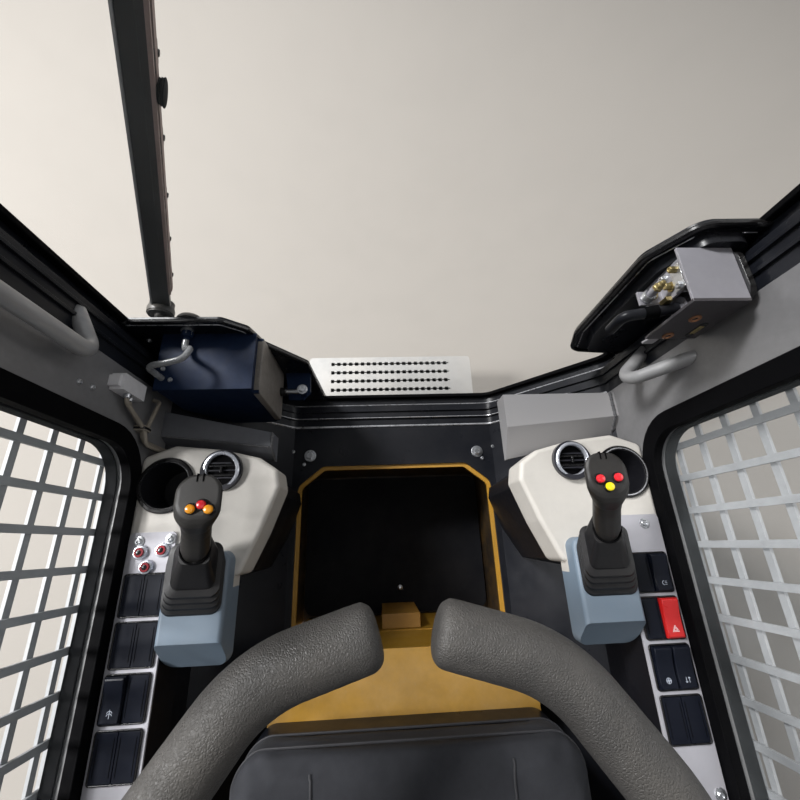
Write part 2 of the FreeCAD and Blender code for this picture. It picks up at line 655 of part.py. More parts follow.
def build_console_bases():
    bases = []
    for tag, side in (("left", -1), ("right", 1)):
        lower = panel("base_block_" + tag, "XY_Plane", mirrored(BASE, side), "sill_z", "cover_low - sill_z")
        strip = panel("base_strip_" + tag, "XY_Plane",
                      mirrored(rectangle("console_strip", "side_inner", "console_rear", "switch_join"), side),
                      "cover_low", "console_z - cover_low")
        slope = below_slope("base_slope_" + tag, side)
        cup = rod("base_cup_" + tag, "cup_round + glass_gap", "200", "%d * cup_x" % side, "cup_y",
                  "console_z - cup_deep - cup_wall - glass_gap")
        bases.append(cut("console_base_" + tag, fuse("base_body_" + tag, lower, strip), slope, cup))
    keep("console_bases", group("console_bases", *bases))


def build_cup(tag, side):
    up = val("console_z")
    deep = val("cup_deep + cup_wall")
    outer = val("cup_round")
    foot = outer - val("cup_taper")
    wall = val("cup_wall")
    lip = val("cup_flange")
    profile = [(0, -deep), (foot, -deep), (outer, 0), (outer + lip, 0), (outer + lip, lip),
               (outer - wall, lip), (foot - wall, wall - deep), (0, wall - deep)]
    wire = Part.makePolygon([Vector(x, 0, z) for x, z in profile + profile[:1]])
    cup = shaped("cup_holder_" + tag, Part.Face(wire).revolve(Vector(), Vector(0, 0, 1), 360))
    cup.Placement = Placement(Vector(side * val("cup_x"), val("cup_y"), up), Rotation())
    keep("cup_holder_" + tag, cup)


def build_vents():
    vents = []
    for tag, side in (("left", -1), ("right", 1)):
        middle = "%d * vent_x" % side
        ring = cut("vent_ring_" + tag,
                   fuse("vent_round_" + tag,
                        rod("vent_collar_" + tag, "vent_round", "vent_proud", middle, "vent_y", "console_z"),
                        rod("vent_barrel_" + tag, "vent_round - vent_ring", "vent_deep", middle, "vent_y",
                            "console_z - vent_deep")),
                   rod("vent_room_" + tag, "vent_round - vent_ring - 2", "vent_deep + vent_proud", middle, "vent_y",
                       "console_z - vent_deep + 3"))
        slats = [span("vent_slat_%s_%d" % (tag, k), "%s - vent_round + vent_ring" % middle,
                      "%s + vent_round - vent_ring" % middle, "vent_y + %d - 1" % offset, "vent_y + %d + 1" % offset,
                      "console_z - vent_deep + 3", "console_z + vent_proud - 4")
                 for k, offset in enumerate((-11, 0, 11))]
        room = rod("vent_trim_" + tag, "vent_round - vent_ring", "60", middle, "vent_y", "console_z - 30")
        trimmed = common("vent_slats_" + tag, fuse("vent_grid_" + tag, *slats), room)
        vents.append(fuse("air_vent_" + tag, ring, trimmed))
    keep("air_vents", group("air_vents", *vents))


# Switch rows: kind of the inner and the outer half, from the front, for each side
SWITCHES = (
    ("left", -1, (("blank", "blank"), ("blank", "blank"), ("blank", "rocker"), ("blank", "blank"))),
    ("right", 1, (("blank", "rocker"), ("blank", "hazard"), ("rocker", "rocker"), ("blank", "blank"))),
)


def build_switches():
    panels = []
    switches = []
    hazard = None
    for tag, side, rows in SWITCHES:
        low, high = ("panel_in", "panel_out") if side > 0 else ("-panel_out", "-panel_in")
        sheet_metal = panel("switch_sheet_" + tag, "XY_Plane", rectangle(low, high, "panel_rear", "panel_front"),
                            "console_z", "panel_thick", corner="6")
        wells = []
        for k, halves in enumerate(rows):
            middle = "switch_first - %d * switch_pitch" % k
            wells.append(span("switch_well_%s_%d" % (tag, k), "%d * switch_x - switch_wide / 2 - 0.4" % side,
                              "%d * switch_x + switch_wide / 2 + 0.4" % side, "%s - switch_long / 2 - 0.4" % middle,
                              "%s + switch_long / 2 + 0.4" % middle, "console_z - 1", "console_z + 20"))
            for half, kind in zip((-1, 1), halves):
                edge = "%d * (switch_x + %d * (switch_wide / 4 + switch_seam / 4))" % (side, half)
                item = switch("switch_%s_%d_%d" % (tag, k, half + 1), kind, edge, middle)
                if kind == "hazard":
                    hazard = item
                else:
                    switches.append(item)
        panels.append(cut("switch_panel_" + tag, sheet_metal, *wells))
    keep("switch_panels", group("switch_panels", *panels))
    keep("rocker_switches", group("rocker_switches", *switches))
    keep("hazard_switch", hazard)


def switch(name, kind, middle, along):
    """One half of a pair: a blank is flat, a rocker dips in its middle."""
    half = val("switch_wide") / 4 - val("switch_seam") / 4
    length = val("switch_long")
    high = val("blank_high" if kind == "blank" else "switch_high")
    dip = 0 if kind == "blank" else high / 3
    profile = [(-length / 2, 0), (length / 2, 0), (length / 2, high), (length / 8, high - dip),
               (-length / 2, high - dip / 2)]
    wire = Part.makePolygon([Vector(-half, y, z) for y, z in profile + profile[:1]])
    solid = Part.Face(wire).extrude(Vector(2 * half, 0, 0))
    item = shaped(name, solid)
    item.Placement = Placement(Vector(val(middle), val(along), val("console_z")), Rotation())
    return item


# Push buttons on the left panel: place across and along
BUTTONS = ((-362, 174), (-333, 176), (-351, 155))


def build_buttons():
    buttons = []
    for k, (across, along) in enumerate(BUTTONS):
        stem = rod("button_%d" % k, "button_round", "button_high", across, along, "console_z + panel_thick")
        collar = rod("button_collar_%d" % k, "button_round + 2", "3", across, along, "console_z + panel_thick")
        buttons.append(fuse("push_button_%d" % k, stem, collar))
    keep("push_buttons", group("push_buttons", *buttons))


def lean(side, up):
    """A point on a joystick's axis at a height above the pod."""
    share = up / (val("stick_top") - val("pod_z"))
    forward = val("stick_lean_right" if side > 0 else "stick_lean_left")
    return Vector(side * (val("boot_x") - share * val("stick_lean_x")),
                  val("boot_y") + share * forward, val("pod_z") + up)


def build_boot(tag, side):
    """A rubber boot: thin wide folds over each other, then a smooth collar up to the stick."""
    folds = 4
    pitch = val("boot_fold")
    half = val("boot_half")
    rows = []
    for k in range(folds):
        wide = half - k * val("boot_step")
        rows += [(k * pitch, wide), (k * pitch + 0.4 * pitch, wide), (k * pitch + 0.7 * pitch, wide - 7)]
    rows += [(folds * pitch, half - folds * val("boot_step") - 5), (val("boot_high"), val("boot_top_half"))]
    sections = []
    for up, wide in rows:
        sections.append(rounded_section(lean(side, up), wide, wide * 0.94, wide * 0.36))
    keep("joystick_boot_" + tag, shaped("joystick_boot_" + tag, Part.makeLoft(sections, True, True)))


# Grip sections: height above the boot as a share of the grip, half width, half depth
GRIP = ((0, 15, 15), (0.12, 17.5, 17), (0.45, 17, 16.5), (0.62, 18.5, 18.5), (0.74, 22, 22), (0.86, 25, 25.5),
        (0.94, 25, 25.5), (0.98, 23, 23.5), (1, 20, 20.5))
# Buttons on a grip's head: side, place across and along from the middle of the head
THUMB_BUTTONS = {-1: ((5, -10), (-6, -14), (13, -15)), 1: ((-10, -8), (11, -7), (-1, -17))}


def build_grip(tag, side):
    low = val("boot_high")
    high = val("stick_top - pod_z")
    sections = []
    for share, half_x, half_y in GRIP:
        centre = lean(side, low + share * (high - low))
        sections.append(rounded_section(centre, half_x, half_y, half_x * 0.8))
    grip = Part.makeLoft(sections, True, True)
    knobs = []
    for across, along in THUMB_BUTTONS[side]:
        knobs.append(Part.makeCylinder(4.5, 11, lean(side, high) + Vector(across, along, -8)))
    keep("joystick_grip_" + tag, shaped("joystick_grip_" + tag, grip.fuse(knobs)))


# Frame brackets: side, inner end, then rear foot, ridge and front along the cab at the inner end and at the wall
BRACKETS = (
    ("left", -1, "bracket_in + 21", (311, 326, 352), (337, 350, 392)),
    ("right", 1, "bracket_in", (302, 352, 411), (338, 368, 411)),
)


def build_brackets():
    low = val("bracket_z - bracket_high")
    top = val("bracket_z")
    brackets = []
    for tag, side, inner, near, far in BRACKETS:
        sections = []
        for across, (foot, ridge, front) in ((val(inner), near), (val("side_inner"), far)):
            profile = [(foot, low), (foot, low + 8), (ridge, top), (front, top), (front, low)]
            sections.append(Part.makePolygon([Vector(side * across, y, z) for y, z in profile + profile[:1]]))
        block = shaped("bracket_block_" + tag, Part.makeLoft(sections, True, True))
        slope = below_slope("bracket_slope_" + tag, side)
        brackets.append(cut("frame_bracket_" + tag, block, slope))
    keep("frame_brackets", group("frame_brackets", *brackets))


# Seat, handles and lap bar


def build_seat():
    pan = panel("seat_pan", "XY_Plane", rectangle("-seat_half + 14", "seat_half - 14", "seat_rear + 6",
                                                  "seat_front - 22"),
                "seat_box_z", "seat_low - seat_box_z - 0.3", corner="30")
    spine_rear = "back_front - back_thick - 0.3 - plate"
    tongue = span("seat_tongue", "-110", "110", spine_rear, "seat_rear + 40", "seat_box_z", "seat_box_z + 30")
    spine = span("seat_spine", "-110", "110", spine_rear, spine_rear + " + plate", "seat_box_z", "back_z - 240")
    keep("seat_pan", fuse("seat_pan", pan, tongue, spine))
    cushion = panel("seat_cushion", "XY_Plane", rectangle("-seat_half", "seat_half", "seat_rear", "seat_front"),
                    "seat_low", "seat_z - seat_low", corner="45")
    keep("seat_cushion", cushion)
    lean_back = [("back_front", "seat_z + 0.5"), ("back_front - back_lean", "back_z"),
                 ("back_front - back_lean - back_thick + 26", "back_z"),
                 ("back_front - back_thick", "seat_z + 0.5")]
    back = panel("seat_back", "YZ_Plane", lean_back, "-seat_half + 12", "2 * seat_half - 24", corner="24")
    keep("seat_back", back)


def handle_root(bend):
    """Where a handle's leg ends in the front post, a little inside it."""
    foot = Vector(math.copysign(val("side_inner"), bend.x), val("handle_foot"), bend.z)
    return foot + (foot - bend).normalize() * 12


def build_handles():
    """The left one stands along its post, the right one runs from its post up into the side wall."""
    low = Vector(-val("handle_left_x"), val("handle_left_y"), val("handle_left_low"))
    high = Vector(low.x, low.y, val("handle_high"))
    bend = Vector(val("handle_right_x"), val("handle_right_y"), val("handle_right_low"))
    end = Vector(val("side_inner + 14"), bend.y + 7, bend.z + val("handle_right_rise"))
    paths = (("left", [handle_root(low), low, high, handle_root(high)]), ("right", [handle_root(bend), bend, end]))
    handles = []
    for tag, points in paths:
        bends = [val("handle_bend")] * (len(points) - 2)
        bent = shaped("handle_tube_" + tag, tube(points, bends, val("handle_round")))
        handles.append(cut("grab_handle_" + tag, bent, parts["front_frame"], parts["side_frame_" + tag]))
    keep("grab_handles", group("grab_handles", *handles))


# Lap bar arm: place across, along and up of its upper bend
ARM_BEND = (300, -400, 712)
# Bend radii of the arm, and its straight run behind the pad
ARM_ROUND = (90, 120)
ARM_RUN = 106
# Lap bar pad: place across and along of each bend from its rear end to its tip, with its bend radius
PAD = ((252, -170, 0), (208, -32, 150), (130, 70, 120), (24, 101, 0))


def build_lap_bar():
    shaft = rod("lap_shaft", "shaft_round", "2 * side_inner - 4", "-side_inner + 2", "pivot_y", "pivot_z", "X")
    shift = Vector(val("lap_shift"), 0, 0)
    arms = []
    for tag, side in (("left", -1), ("right", 1)):
        soft = [Vector(side * x, y, val("pad_z")) + shift for x, y, _ in PAD]
        upper = Vector(side * ARM_BEND[0], ARM_BEND[1], ARM_BEND[2]) + shift
        root = Vector(upper.x, val("pivot_y"), val("pivot_z"))
        lower = soft[0] - (soft[1] - soft[0]).normalize() * ARM_RUN
        arms.append(shaped("lap_arm_" + tag, tube([root, upper, lower, soft[0]], ARM_ROUND, val("arm_round"))))
        pad = tube(soft, [row[2] for row in PAD[1:-1]], val("pad_round"))
        tip = [edge for edge in pad.Edges if all((vertex.Point - soft[-1]).Length < val("pad_round") + 1
                                                 for vertex in edge.Vertexes)]
        keep("lap_pad_" + tag, shaped("lap_pad_" + tag, pad.makeFillet(val("pad_tip"), tip)))
    keep("lap_bar", fuse("lap_bar", shaft, *arms))


def build_step():
    top = panel("step_sheet", "XY_Plane", rectangle("-step_half", "step_half", "step_rear", "step_front"),
                "step_z - step_plate", "step_plate", corner="8")
    skirts = [span("step_skirt_%d" % k, "-step_half + 8", "step_half - 8", low, "%s + step_plate" % low,
                   "step_z - step_flange", "step_z - step_plate / 2")
              for k, low in enumerate(("step_rear", "step_front - step_plate"))]
    arms = [span("step_arm_%d" % k, "%d * (step_half - 40) - 15" % side, "%d * (step_half - 40) + 15" % side,
                 "post_front", "step_rear + 2", "step_z - step_flange", "step_z - 1")
            for k, side in enumerate((-1, 1))]
    slots = Part.makeCompound([toothed_slot(k) for k in range(5)])
    plate = fuse("step_block", top, *skirts, *arms)
    keep("step_plate", cut("step_plate", plate, shaped("step_slots", slots)))


def toothed_slot(row):
    """A long slot with teeth along both edges, as a cutter."""
    middle = val("slot_first") + row * val("slot_pitch")
    half = val("slot_half")
    pitch = val("tooth_pitch")
    wide = val("slot_wide") / 2
    narrow = wide - val("tooth_deep")
    teeth = int(2 * half / pitch)
    edge = []
    for k in range(teeth):
        start = -half + k * pitch
        edge += [(start, wide), (start + pitch * 0.5, wide), (start + pitch * 0.6, narrow),
                 (start + pitch * 0.9, narrow)]
    points = edge + [(x, -y) for x, y in reversed(edge)]
    low = val("step_z") - 40
    wire = Part.makePolygon([Vector(x, middle + y, low) for x, y in points + points[:1]])
    return Part.Face(wire).extrude(Vector(0, 0, 80))


# Door, latch and wiper

DOOR_REAR = "post_front + door_gap"
DOOR_FRONT = "post_front + door_gap + door_thick"
HINGE_X = "-side_inner - side_wall - hinge_out"
HINGE_Y = "post_front + door_gap + door_thick / 2"


def build_door():
    ring = panel("door_ring", "XZ_Plane", opening("door_lap"), DOOR_REAR, "door_thick",
                 holes=(opening("door_inner"),), corner="door_round + door_lap", hole_corner="door_round + door_inner")
    sleeves = []
    ears = []
    for k, middle in enumerate(("hinge_low", "hinge_high")):
        low = "%s - hinge_long / 2" % middle
        barrel = rod("hinge_barrel_%d" % k, "hinge_round", "hinge_long", HINGE_X, HINGE_Y, low)
        leaf = span("hinge_leaf_%d" % k, HINGE_X, "-side_inner - door_lap + 2", HINGE_Y + " - 5", HINGE_Y + " + 5",
                    low, "%s + hinge_long / 2" % middle)
        bore = rod("hinge_bore_%d" % k, "hinge_pin + pin_gap", "hinge_long", HINGE_X, HINGE_Y, low)
        sleeves.append(cut("hinge_sleeve_%d" % k, fuse("hinge_half_%d" % k, barrel, leaf), bore))
        for end, start in enumerate(("%s - hinge_long / 2 - hinge_ear - 0.5" % middle,
                                     "%s + hinge_long / 2 + 0.5" % middle)):
            arm = span("hinge_arm_%d_%d" % (k, end), HINGE_X + " - hinge_round", HINGE_X + " + hinge_round",
                       "post_rear + 10", HINGE_Y, start, "%s + hinge_ear" % start)
            eye = rod("hinge_eye_%d_%d" % (k, end), "hinge_round", "hinge_ear", HINGE_X, HINGE_Y, start)
            ears += [arm, eye]
        ears.append(rod("hinge_pin_%d" % k, "hinge_pin", "hinge_long + 2 * hinge_ear + 1", HINGE_X, HINGE_Y,
                        "%s - hinge_long / 2 - hinge_ear - 0.5" % middle))
        ears.append(span("hinge_foot_%d" % k, HINGE_X + " - hinge_round", "-side_inner - side_wall",
                         "post_rear + 2", "post_front - 4", "%s - hinge_long / 2 - hinge_ear - 0.5" % middle,
                         "%s + hinge_long / 2 + hinge_ear + 0.5" % middle))
    keep("door_frame", fuse("door_frame", ring, *sleeves))
    keep("door_hinges", fuse("door_hinges", *ears))
    pane = panel("door_glass", "XZ_Plane", opening("door_lap - pane_edge"), DOOR_FRONT, "glass_thick",
                 corner="door_round + door_lap - pane_edge")
    keep("door_glass", pane)


# Outline of the plate that carries the wiper motor: place across and up
MOTOR_PLATE = (("-side_inner - door_lap", "524"), ("-262", "524"), ("-230", "498"), ("-219", "450"),
               ("-160", "374"), ("-150", "sill_z - door_lap"), ("-side_inner - door_lap", "sill_z - door_lap"))
# Outline of the plate that carries the latch, and of the boss pressed in it: place across and up
LATCH_PLATE = (("side_inner + door_lap", "716"), ("330", "714"), ("296", "660"), ("297", "480"), ("316", "420"),
               ("side_inner + door_lap", "404"))
LATCH_BOSS = (("392", "708"), ("338", "706"), ("312", "655"), ("312", "500"), ("330", "440"), ("392", "440"))
PLATE_REAR = DOOR_FRONT + " - corner_thick"
# Outline of the wiper motor's housing: place across and up
MOTOR_HOUSING = (("-360", "slope_top + 10"), ("-304", "314"), ("-222", "314"), ("-222", "motor_top"),
                 ("-360", "motor_top"))
# Gusset beside the motor: place across and along
MOTOR_GUSSET = (("-209", PLATE_REAR), ("-162", PLATE_REAR), ("-160", "448"), ("-172", "434"), ("-200", "434"))


def build_door_fittings():
    plates = []
    for name, outline, corner in (("motor_plate", MOTOR_PLATE, "14"), ("latch_plate", LATCH_PLATE, "28")):
        plates.append(common(name,
                             panel(name + "_sheet", "XZ_Plane", outline, PLATE_REAR, "corner_thick - glass_gap",
                                   corner=corner),
                             panel(name + "_edge", "XZ_Plane", opening("door_inner"), PLATE_REAR, "corner_thick",
                                   corner="door_round + door_inner")))
    boss = panel("latch_boss", "XZ_Plane", LATCH_BOSS, DOOR_REAR, "door_thick - corner_thick", corner="20")
    plates[1] = fuse("latch_panel", plates[1], boss)
    keep("door_corner_plates", group("door_corner_plates", *plates))


def build_motor():
    """The wiper motor's housing with its lid, end flange, strut and gusset."""
    case = panel("motor_case", "XZ_Plane", MOTOR_HOUSING, "motor_rear", PLATE_REAR + " - motor_rear", corner="10")
    lid = span("motor_lid", "-362", "-220", "motor_rear - 2", PLATE_REAR, "motor_top - 1", "motor_top + 3")
    flange = span("motor_flange", "-223", "-214", "motor_rear - 2", PLATE_REAR, "330", "motor_top - 14")
    strut = rod("motor_strut", "7.5", "13", "-216", "446", "347", "X")
    link = rod("motor_link", "4", "34", "-204", "446", "347", "X")
    gusset = panel("motor_gusset", "XY_Plane", MOTOR_GUSSET, "331", "5")
    boss = rod("motor_boss", "7", "24", "-172", "446", "333")
    keep("wiper_motor_housing", fuse("wiper_motor_housing", case, lid, flange, strut, link, gusset, boss))


# Blocks of the door latch: name and its two corners, each as across, along and up
LATCH_BLOCKS = (
    ("top", (305, "latch_rear", 694), (370, DOOR_REAR, 697)),
    ("side", (305, "latch_rear", 614), (370, "latch_rear + 3", 695)),
    ("end", (367, "latch_rear", 614), (370, DOOR_REAR, 695)),
    ("back", (320, DOOR_REAR + " - 3", 600), (370, DOOR_REAR, 695)),
    ("shelf", (282, 428, 648), (368, 446, 651)),
    ("cheek", (312, 428, 622), (315, 462, 690)),
    ("brace", (313, 455, 640), (368, 458, 690)),
)


def build_latch():
    blocks = [span("latch_" + name, low[0], high[0], low[1], high[1], low[2], high[2])
              for name, low, high in LATCH_BLOCKS]
    rotor = rod("latch_rotor", "13", "12", "lever_x", "lever_y", "lever_z", "X")
    post = rod("latch_post", "6", "368 - lever_x", "lever_x", "lever_y", "lever_z", "X")
    spring = rod("latch_spring", "4.5", "24", "290", "436", "650")
    keep("door_latch", fuse("door_latch", rotor, post, spring, *blocks))
    root = Vector(val("lever_x - 1.6"), val("lever_y"), val("lever_z"))
    bend = root - Vector(val("lever_reach"), 2, val("lever_dip"))
    tip = bend - Vector(2, 3, val("lever_drop"))
    keep("door_lever", shaped("door_lever", tube([root, bend, tip], [12], val("lever_round"))))


# Washer hose on the door: place across, along and up of each point, with its bend radius
HOSE = ((-320, 489, 499, 0), (-320, 456, 499, 12), (-298, 445, 524, 12), (-303, 425, 531, 14), (-326, 418, 532, 40),
        (-352, 415, 530, 15), (-352, 415, 488, 0))


def build_hose():
    hose = tube([Vector(*row[:3]) for row in HOSE], [row[3] for row in HOSE[1:-1]], 4.5)
    nut = Part.makeCylinder(8, 9, Vector(*HOSE[0][:3]), Vector(0, -1, 0))
    keep("washer_hose", shaped("washer_hose", hose.fuse(nut)))


# Cables on the left post: place across, along and up of each point, with its bend radius
CABLES = (
    ((-378, 377, 508, 0), (-378, 367, 508, 8), (-381, 345, 463, 20), (-381, 328, 455, 14), (-376, 326, 376.8, 0)),
    ((-373, 377, 522, 0), (-373, 366, 522, 8), (-374, 342, 468, 20), (-374, 322, 459, 12), (-368, 320, 368.2, 0)),
    ((-385, 398, 441, 0), (-374, 394, 442, 8), (-373, 345, 465, 0)),
)


def build_harness():
    block = span("connector_body", "-side_inner", "-368", "377", "400", "492", "541")
    latch = span("connector_latch", "-side_inner", "-372", "381", "396", "541", "546")
    keep("connector_block", fuse("connector_block", block, latch))
    cables = [tube([Vector(*row[:3]) for row in rows], [row[3] for row in rows[1:-1]], val("cable_round"))
              for rows in CABLES]
    tie = Part.makeBox(15, 7, 17, Vector(-385, 340, 459))
    keep("wire_harness", shaped("wire_harness", tie.fuse(cables)))


def build_wiper():
    face = val(DOOR_FRONT + " + glass_thick")
    start = face + val("wiper_out")
    long = val("wiper_long")
    hub = Part.makeCylinder(17, 22, Vector(0, start - 6, 0), Vector(0, 1, 0))
    spindle = Part.makeCylinder(7, start - 6 - face - 0.3, Vector(0, face + 0.3, 0), Vector(0, 1, 0))
    outline = [(0, -12), (long, -8), (long, 8), (0, 12), (0, -12)]
    arm = Part.Face(Part.makePolygon([Vector(x, start + 4, z) for x, z in outline])).extrude(Vector(0, 7, 0))
    blade = Part.makeBox(val("blade_long"), 14, 8, Vector(long - val("blade_long") * 0.62, start - 8, -16))
    link = Part.makeBox(26, 7, 24, Vector(long - 26, start + 4, -16))
    wiper = shaped("wiper", hub.fuse([spindle, arm, blade, link]))
    wiper.Placement = Placement(Vector(val("wiper_x"), 0, val("wiper_z")),
                                Rotation(Vector(0, 1, 0), -val("wiper_lean")))
    keep("wiper", wiper)


def build_lamps():
    lamps = []
    for tag, side in (("left", -1), ("right", 1)):
        middle = "%d * lamp_x" % side
        low = "roof_z + roof_thick + 12"
        shell = panel("lamp_shell_" + tag, "XZ_Plane",
                      rectangle("%s - lamp_wide / 2" % middle, "%s + lamp_wide / 2" % middle, low,
                                "%s + lamp_high" % low),
                      "roof_front - 90", "lamp_deep", corner="16")
        foot = span("lamp_foot_" + tag, "%s - 18" % middle, "%s + 18" % middle, "roof_front - 80", "roof_front - 44",
                    "roof_z + roof_thick", low)
        lamps.append(fuse("work_lamp_" + tag, shell, foot))
    keep("work_lamps", group("work_lamps", *lamps))


def build_all():
    build_tub()
    build_seat_box()
    build_mat()
    build_deck()
    build_frames()
    for tag, side in (("left", -1), ("right", 1)):
        build_side(tag, side)
        build_screen(tag, side)
        build_console(tag, side)
        build_cup(tag, side)
        build_boot(tag, side)
        build_grip(tag, side)
    build_roof()
    build_console_bases()
    build_vents()
    build_switches()
    build_buttons()
    build_brackets()
    build_seat()
    build_handles()
    build_lap_bar()
    build_step()
    build_door()
    build_door_fittings()
    build_motor()
    build_latch()
    build_hose()
    build_harness()
    build_wiper()
    build_lamps()


def check_and_write():
    doc.recompute()
    for item in doc.Objects:
        bad = [state for state in item.State if state in ("Invalid", "Error")]
        if bad:
            raise RuntimeError("%s is %s" % (item.Label, bad))
    os.makedirs("parts", exist_ok=True)
    for name, item in sorted(parts.items()):
        shape = item.Shape
        if shape.isNull() or not shape.isValid() or not shape.Solids:
            raise RuntimeError("%s has no valid shape" % name)
        shape.exportStep("parts/%s.step" % name)
        bounds = shape.BoundBox
        print("%-22s %d solids, %9.0f mm3, x %5.0f %5.0f, y %5.0f %5.0f, z %5.0f %5.0f" % (
            name, len(shape.Solids), shape.Volume, bounds.XMin, bounds.XMax, bounds.YMin, bounds.YMax,
            bounds.ZMin, bounds.ZMax))


build_all()
check_and_write()
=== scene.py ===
from math import atan, cos, pi, radians, sin, tan

import bmesh
import bpy
from mathutils import Matrix, Vector
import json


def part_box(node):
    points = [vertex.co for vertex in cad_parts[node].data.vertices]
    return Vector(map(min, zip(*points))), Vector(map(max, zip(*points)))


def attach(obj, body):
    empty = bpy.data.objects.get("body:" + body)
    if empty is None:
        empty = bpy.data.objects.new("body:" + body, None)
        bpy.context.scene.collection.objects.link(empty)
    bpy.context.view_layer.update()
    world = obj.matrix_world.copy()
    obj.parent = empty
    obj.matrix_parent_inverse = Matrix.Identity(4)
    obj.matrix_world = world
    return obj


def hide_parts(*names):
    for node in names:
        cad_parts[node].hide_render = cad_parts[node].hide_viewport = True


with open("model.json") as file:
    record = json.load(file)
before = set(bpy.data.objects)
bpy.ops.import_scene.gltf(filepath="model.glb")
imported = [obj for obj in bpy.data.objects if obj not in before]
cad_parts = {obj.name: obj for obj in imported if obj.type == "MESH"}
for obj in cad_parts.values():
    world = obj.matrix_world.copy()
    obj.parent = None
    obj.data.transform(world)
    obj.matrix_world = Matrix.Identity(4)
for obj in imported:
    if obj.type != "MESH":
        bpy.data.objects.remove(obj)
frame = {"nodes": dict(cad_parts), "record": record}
NODES = frame["nodes"]
SLOTS = {part["node"]: part["material_slot"] for part in frame["record"]["subparts"]}
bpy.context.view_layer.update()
MM = 0.001

# Camera: the operator's view, down through the door; its place in metres, its angles in degrees
CAMERA_PLACE = (-0.032, 0.170, 1.040)
CAMERA_TILT, CAMERA_TURN, CAMERA_ROLL = 20.44, -8.93, 7.24
FOCAL_PIXELS, PICTURE_PIXELS, SENSOR = 395, 800, 36.0


def assign(target, **values):
    for name, value in values.items():
        setattr(target, name, value)
    return target


def placed(name, data):
    """A new object in the scene."""
    item = bpy.data.objects.new(name, data)
    bpy.context.scene.collection.objects.link(item)
    return item


def make_camera():
    data = bpy.data.cameras.new("camera")
    data.sensor_width = SENSOR
    data.lens = SENSOR * FOCAL_PIXELS / PICTURE_PIXELS
    data.clip_start = 0.01
    camera = placed("camera", data)
    turn = (Matrix.Rotation(radians(CAMERA_TURN), 4, "Z") @ Matrix.Rotation(radians(CAMERA_TILT), 4, "X")
            @ Matrix.Rotation(radians(CAMERA_ROLL), 4, "Z"))
    camera.matrix_world = Matrix.Translation(CAMERA_PLACE) @ turn
    bpy.context.scene.camera = camera


# Materials


class Nodes:
    """Short calls for building one material's node tree."""

    def __init__(self, material):
        material.use_nodes = True
        self.tree = material.node_tree
        self.shader = self.tree.nodes["Principled BSDF"]
        self.place = self.tree.nodes.new("ShaderNodeTexCoord").outputs["Object"]

    def add(self, kind, slots=None, **values):
        """A shader node, with some of its inputs and its properties set."""
        node = assign(self.tree.nodes.new("ShaderNode" + kind), **values)
        for name, value in (slots or {}).items():
            node.inputs[name].default_value = value
        return node

    def link(self, source, target):
        self.tree.links.new(source, target)

    def noise(self, scale, detail, roughness, stretch=None):
        node = self.add("TexNoise", {"Scale": scale, "Detail": detail, "Roughness": roughness})
        source = self.place
        if stretch:
            mapping = self.add("Mapping", {"Scale": stretch})
            self.link(source, mapping.inputs["Vector"])
            source = mapping.outputs[0]
        self.link(source, node.inputs["Vector"])
        return node.outputs["Fac"]

    def span(self, source, low, high, to_low=0.0, to_high=1.0):
        node = self.add("MapRange", {"From Min": low, "From Max": high, "To Min": to_low, "To Max": to_high})
        self.link(source, node.inputs["Value"])
        return node.outputs["Result"]

    def put(self, value, slot):
        """Links a socket to a slot, or sets the slot to a number or a colour."""
        if isinstance(value, tuple):
            slot.default_value = (*value, 1)
        elif isinstance(value, (int, float)):
            slot.default_value = value
        else:
            self.link(value, slot)

    def math(self, operation, *values):
        node = self.add("Math", operation=operation)
        for slot, value in zip(node.inputs, values):
            self.put(value, slot)
        return node.outputs[0]

    def times(self, first, second):
        return self.math("MULTIPLY", first, second)

    def mix(self, share, first, second):
        """Mixes two colours: inputs 6 and 7 and output 2 are the node's colour sockets."""
        node = self.add("Mix", data_type="RGBA")
        for slot, value in ((0, share), (6, first), (7, second)):
            self.put(value, node.inputs[slot])
        return node.outputs[2]

    def vector(self, operation, *sources):
        node = self.add("VectorMath", operation=operation)
        for slot, source in zip(node.inputs, sources):
            self.link(source, slot)
        return node

    def split(self, source):
        """The X, Y and Z of a vector."""
        node = self.add("SeparateXYZ")
        self.link(source, node.inputs[0])
        return node.outputs[:3]

    def bump(self, height, strength, depth, normal=None):
        """A bump of a depth in millimetres, over another normal if one is given."""
        node = self.add("Bump", {"Strength": strength, "Distance": depth * MM})
        self.link(height, node.inputs["Height"])
        if normal:
            self.link(normal, node.inputs["Normal"])
        return node.outputs[0]


def scaled(colour, factor):
    return tuple(min(1.0, channel * factor) for channel in colour)


MADE = {}
DUST_COLOUR = (0.36, 0.32, 0.27)
COAT_ROUGHNESS = 0.12
BEVEL_SAMPLES = 2
# Scales of the fine tone, of the roughness and of the specks of dust, as multiples of the broad tone's
FINE, ROUGH_PATCHES, SPECKS = 14, 3.1, 60


def worn(n, normal, fine, wear, colour_out, bright):
    """Lightens the edges, where the rounded normal leaves the face's own."""
    flat = n.add("NewGeometry").outputs["Normal"]
    facing = n.vector("DOT_PRODUCT", normal, flat).outputs["Value"]
    rubbed = n.times(n.span(facing, 0.995, 0.9), n.span(fine, 0.35, 0.6))
    return n.mix(n.times(rubbed, wear), colour_out, bright)


def dust_share(n, broad, mottle, dust):
    """How much dust lies at a point: patches and specks on what faces up, and specks elsewhere."""
    up = n.split(n.add("NewGeometry").outputs["Normal"])[2]
    lying = n.times(n.span(up, 0.35, 1.0), n.span(broad, 0.35, 0.72))
    speck = n.times(n.span(n.noise(mottle * SPECKS, 2, 0.5), 0.62, 0.72), 0.5)
    return n.times(n.math("ADD", lying, n.times(speck, n.span(broad, 0.3, 0.6))), dust)


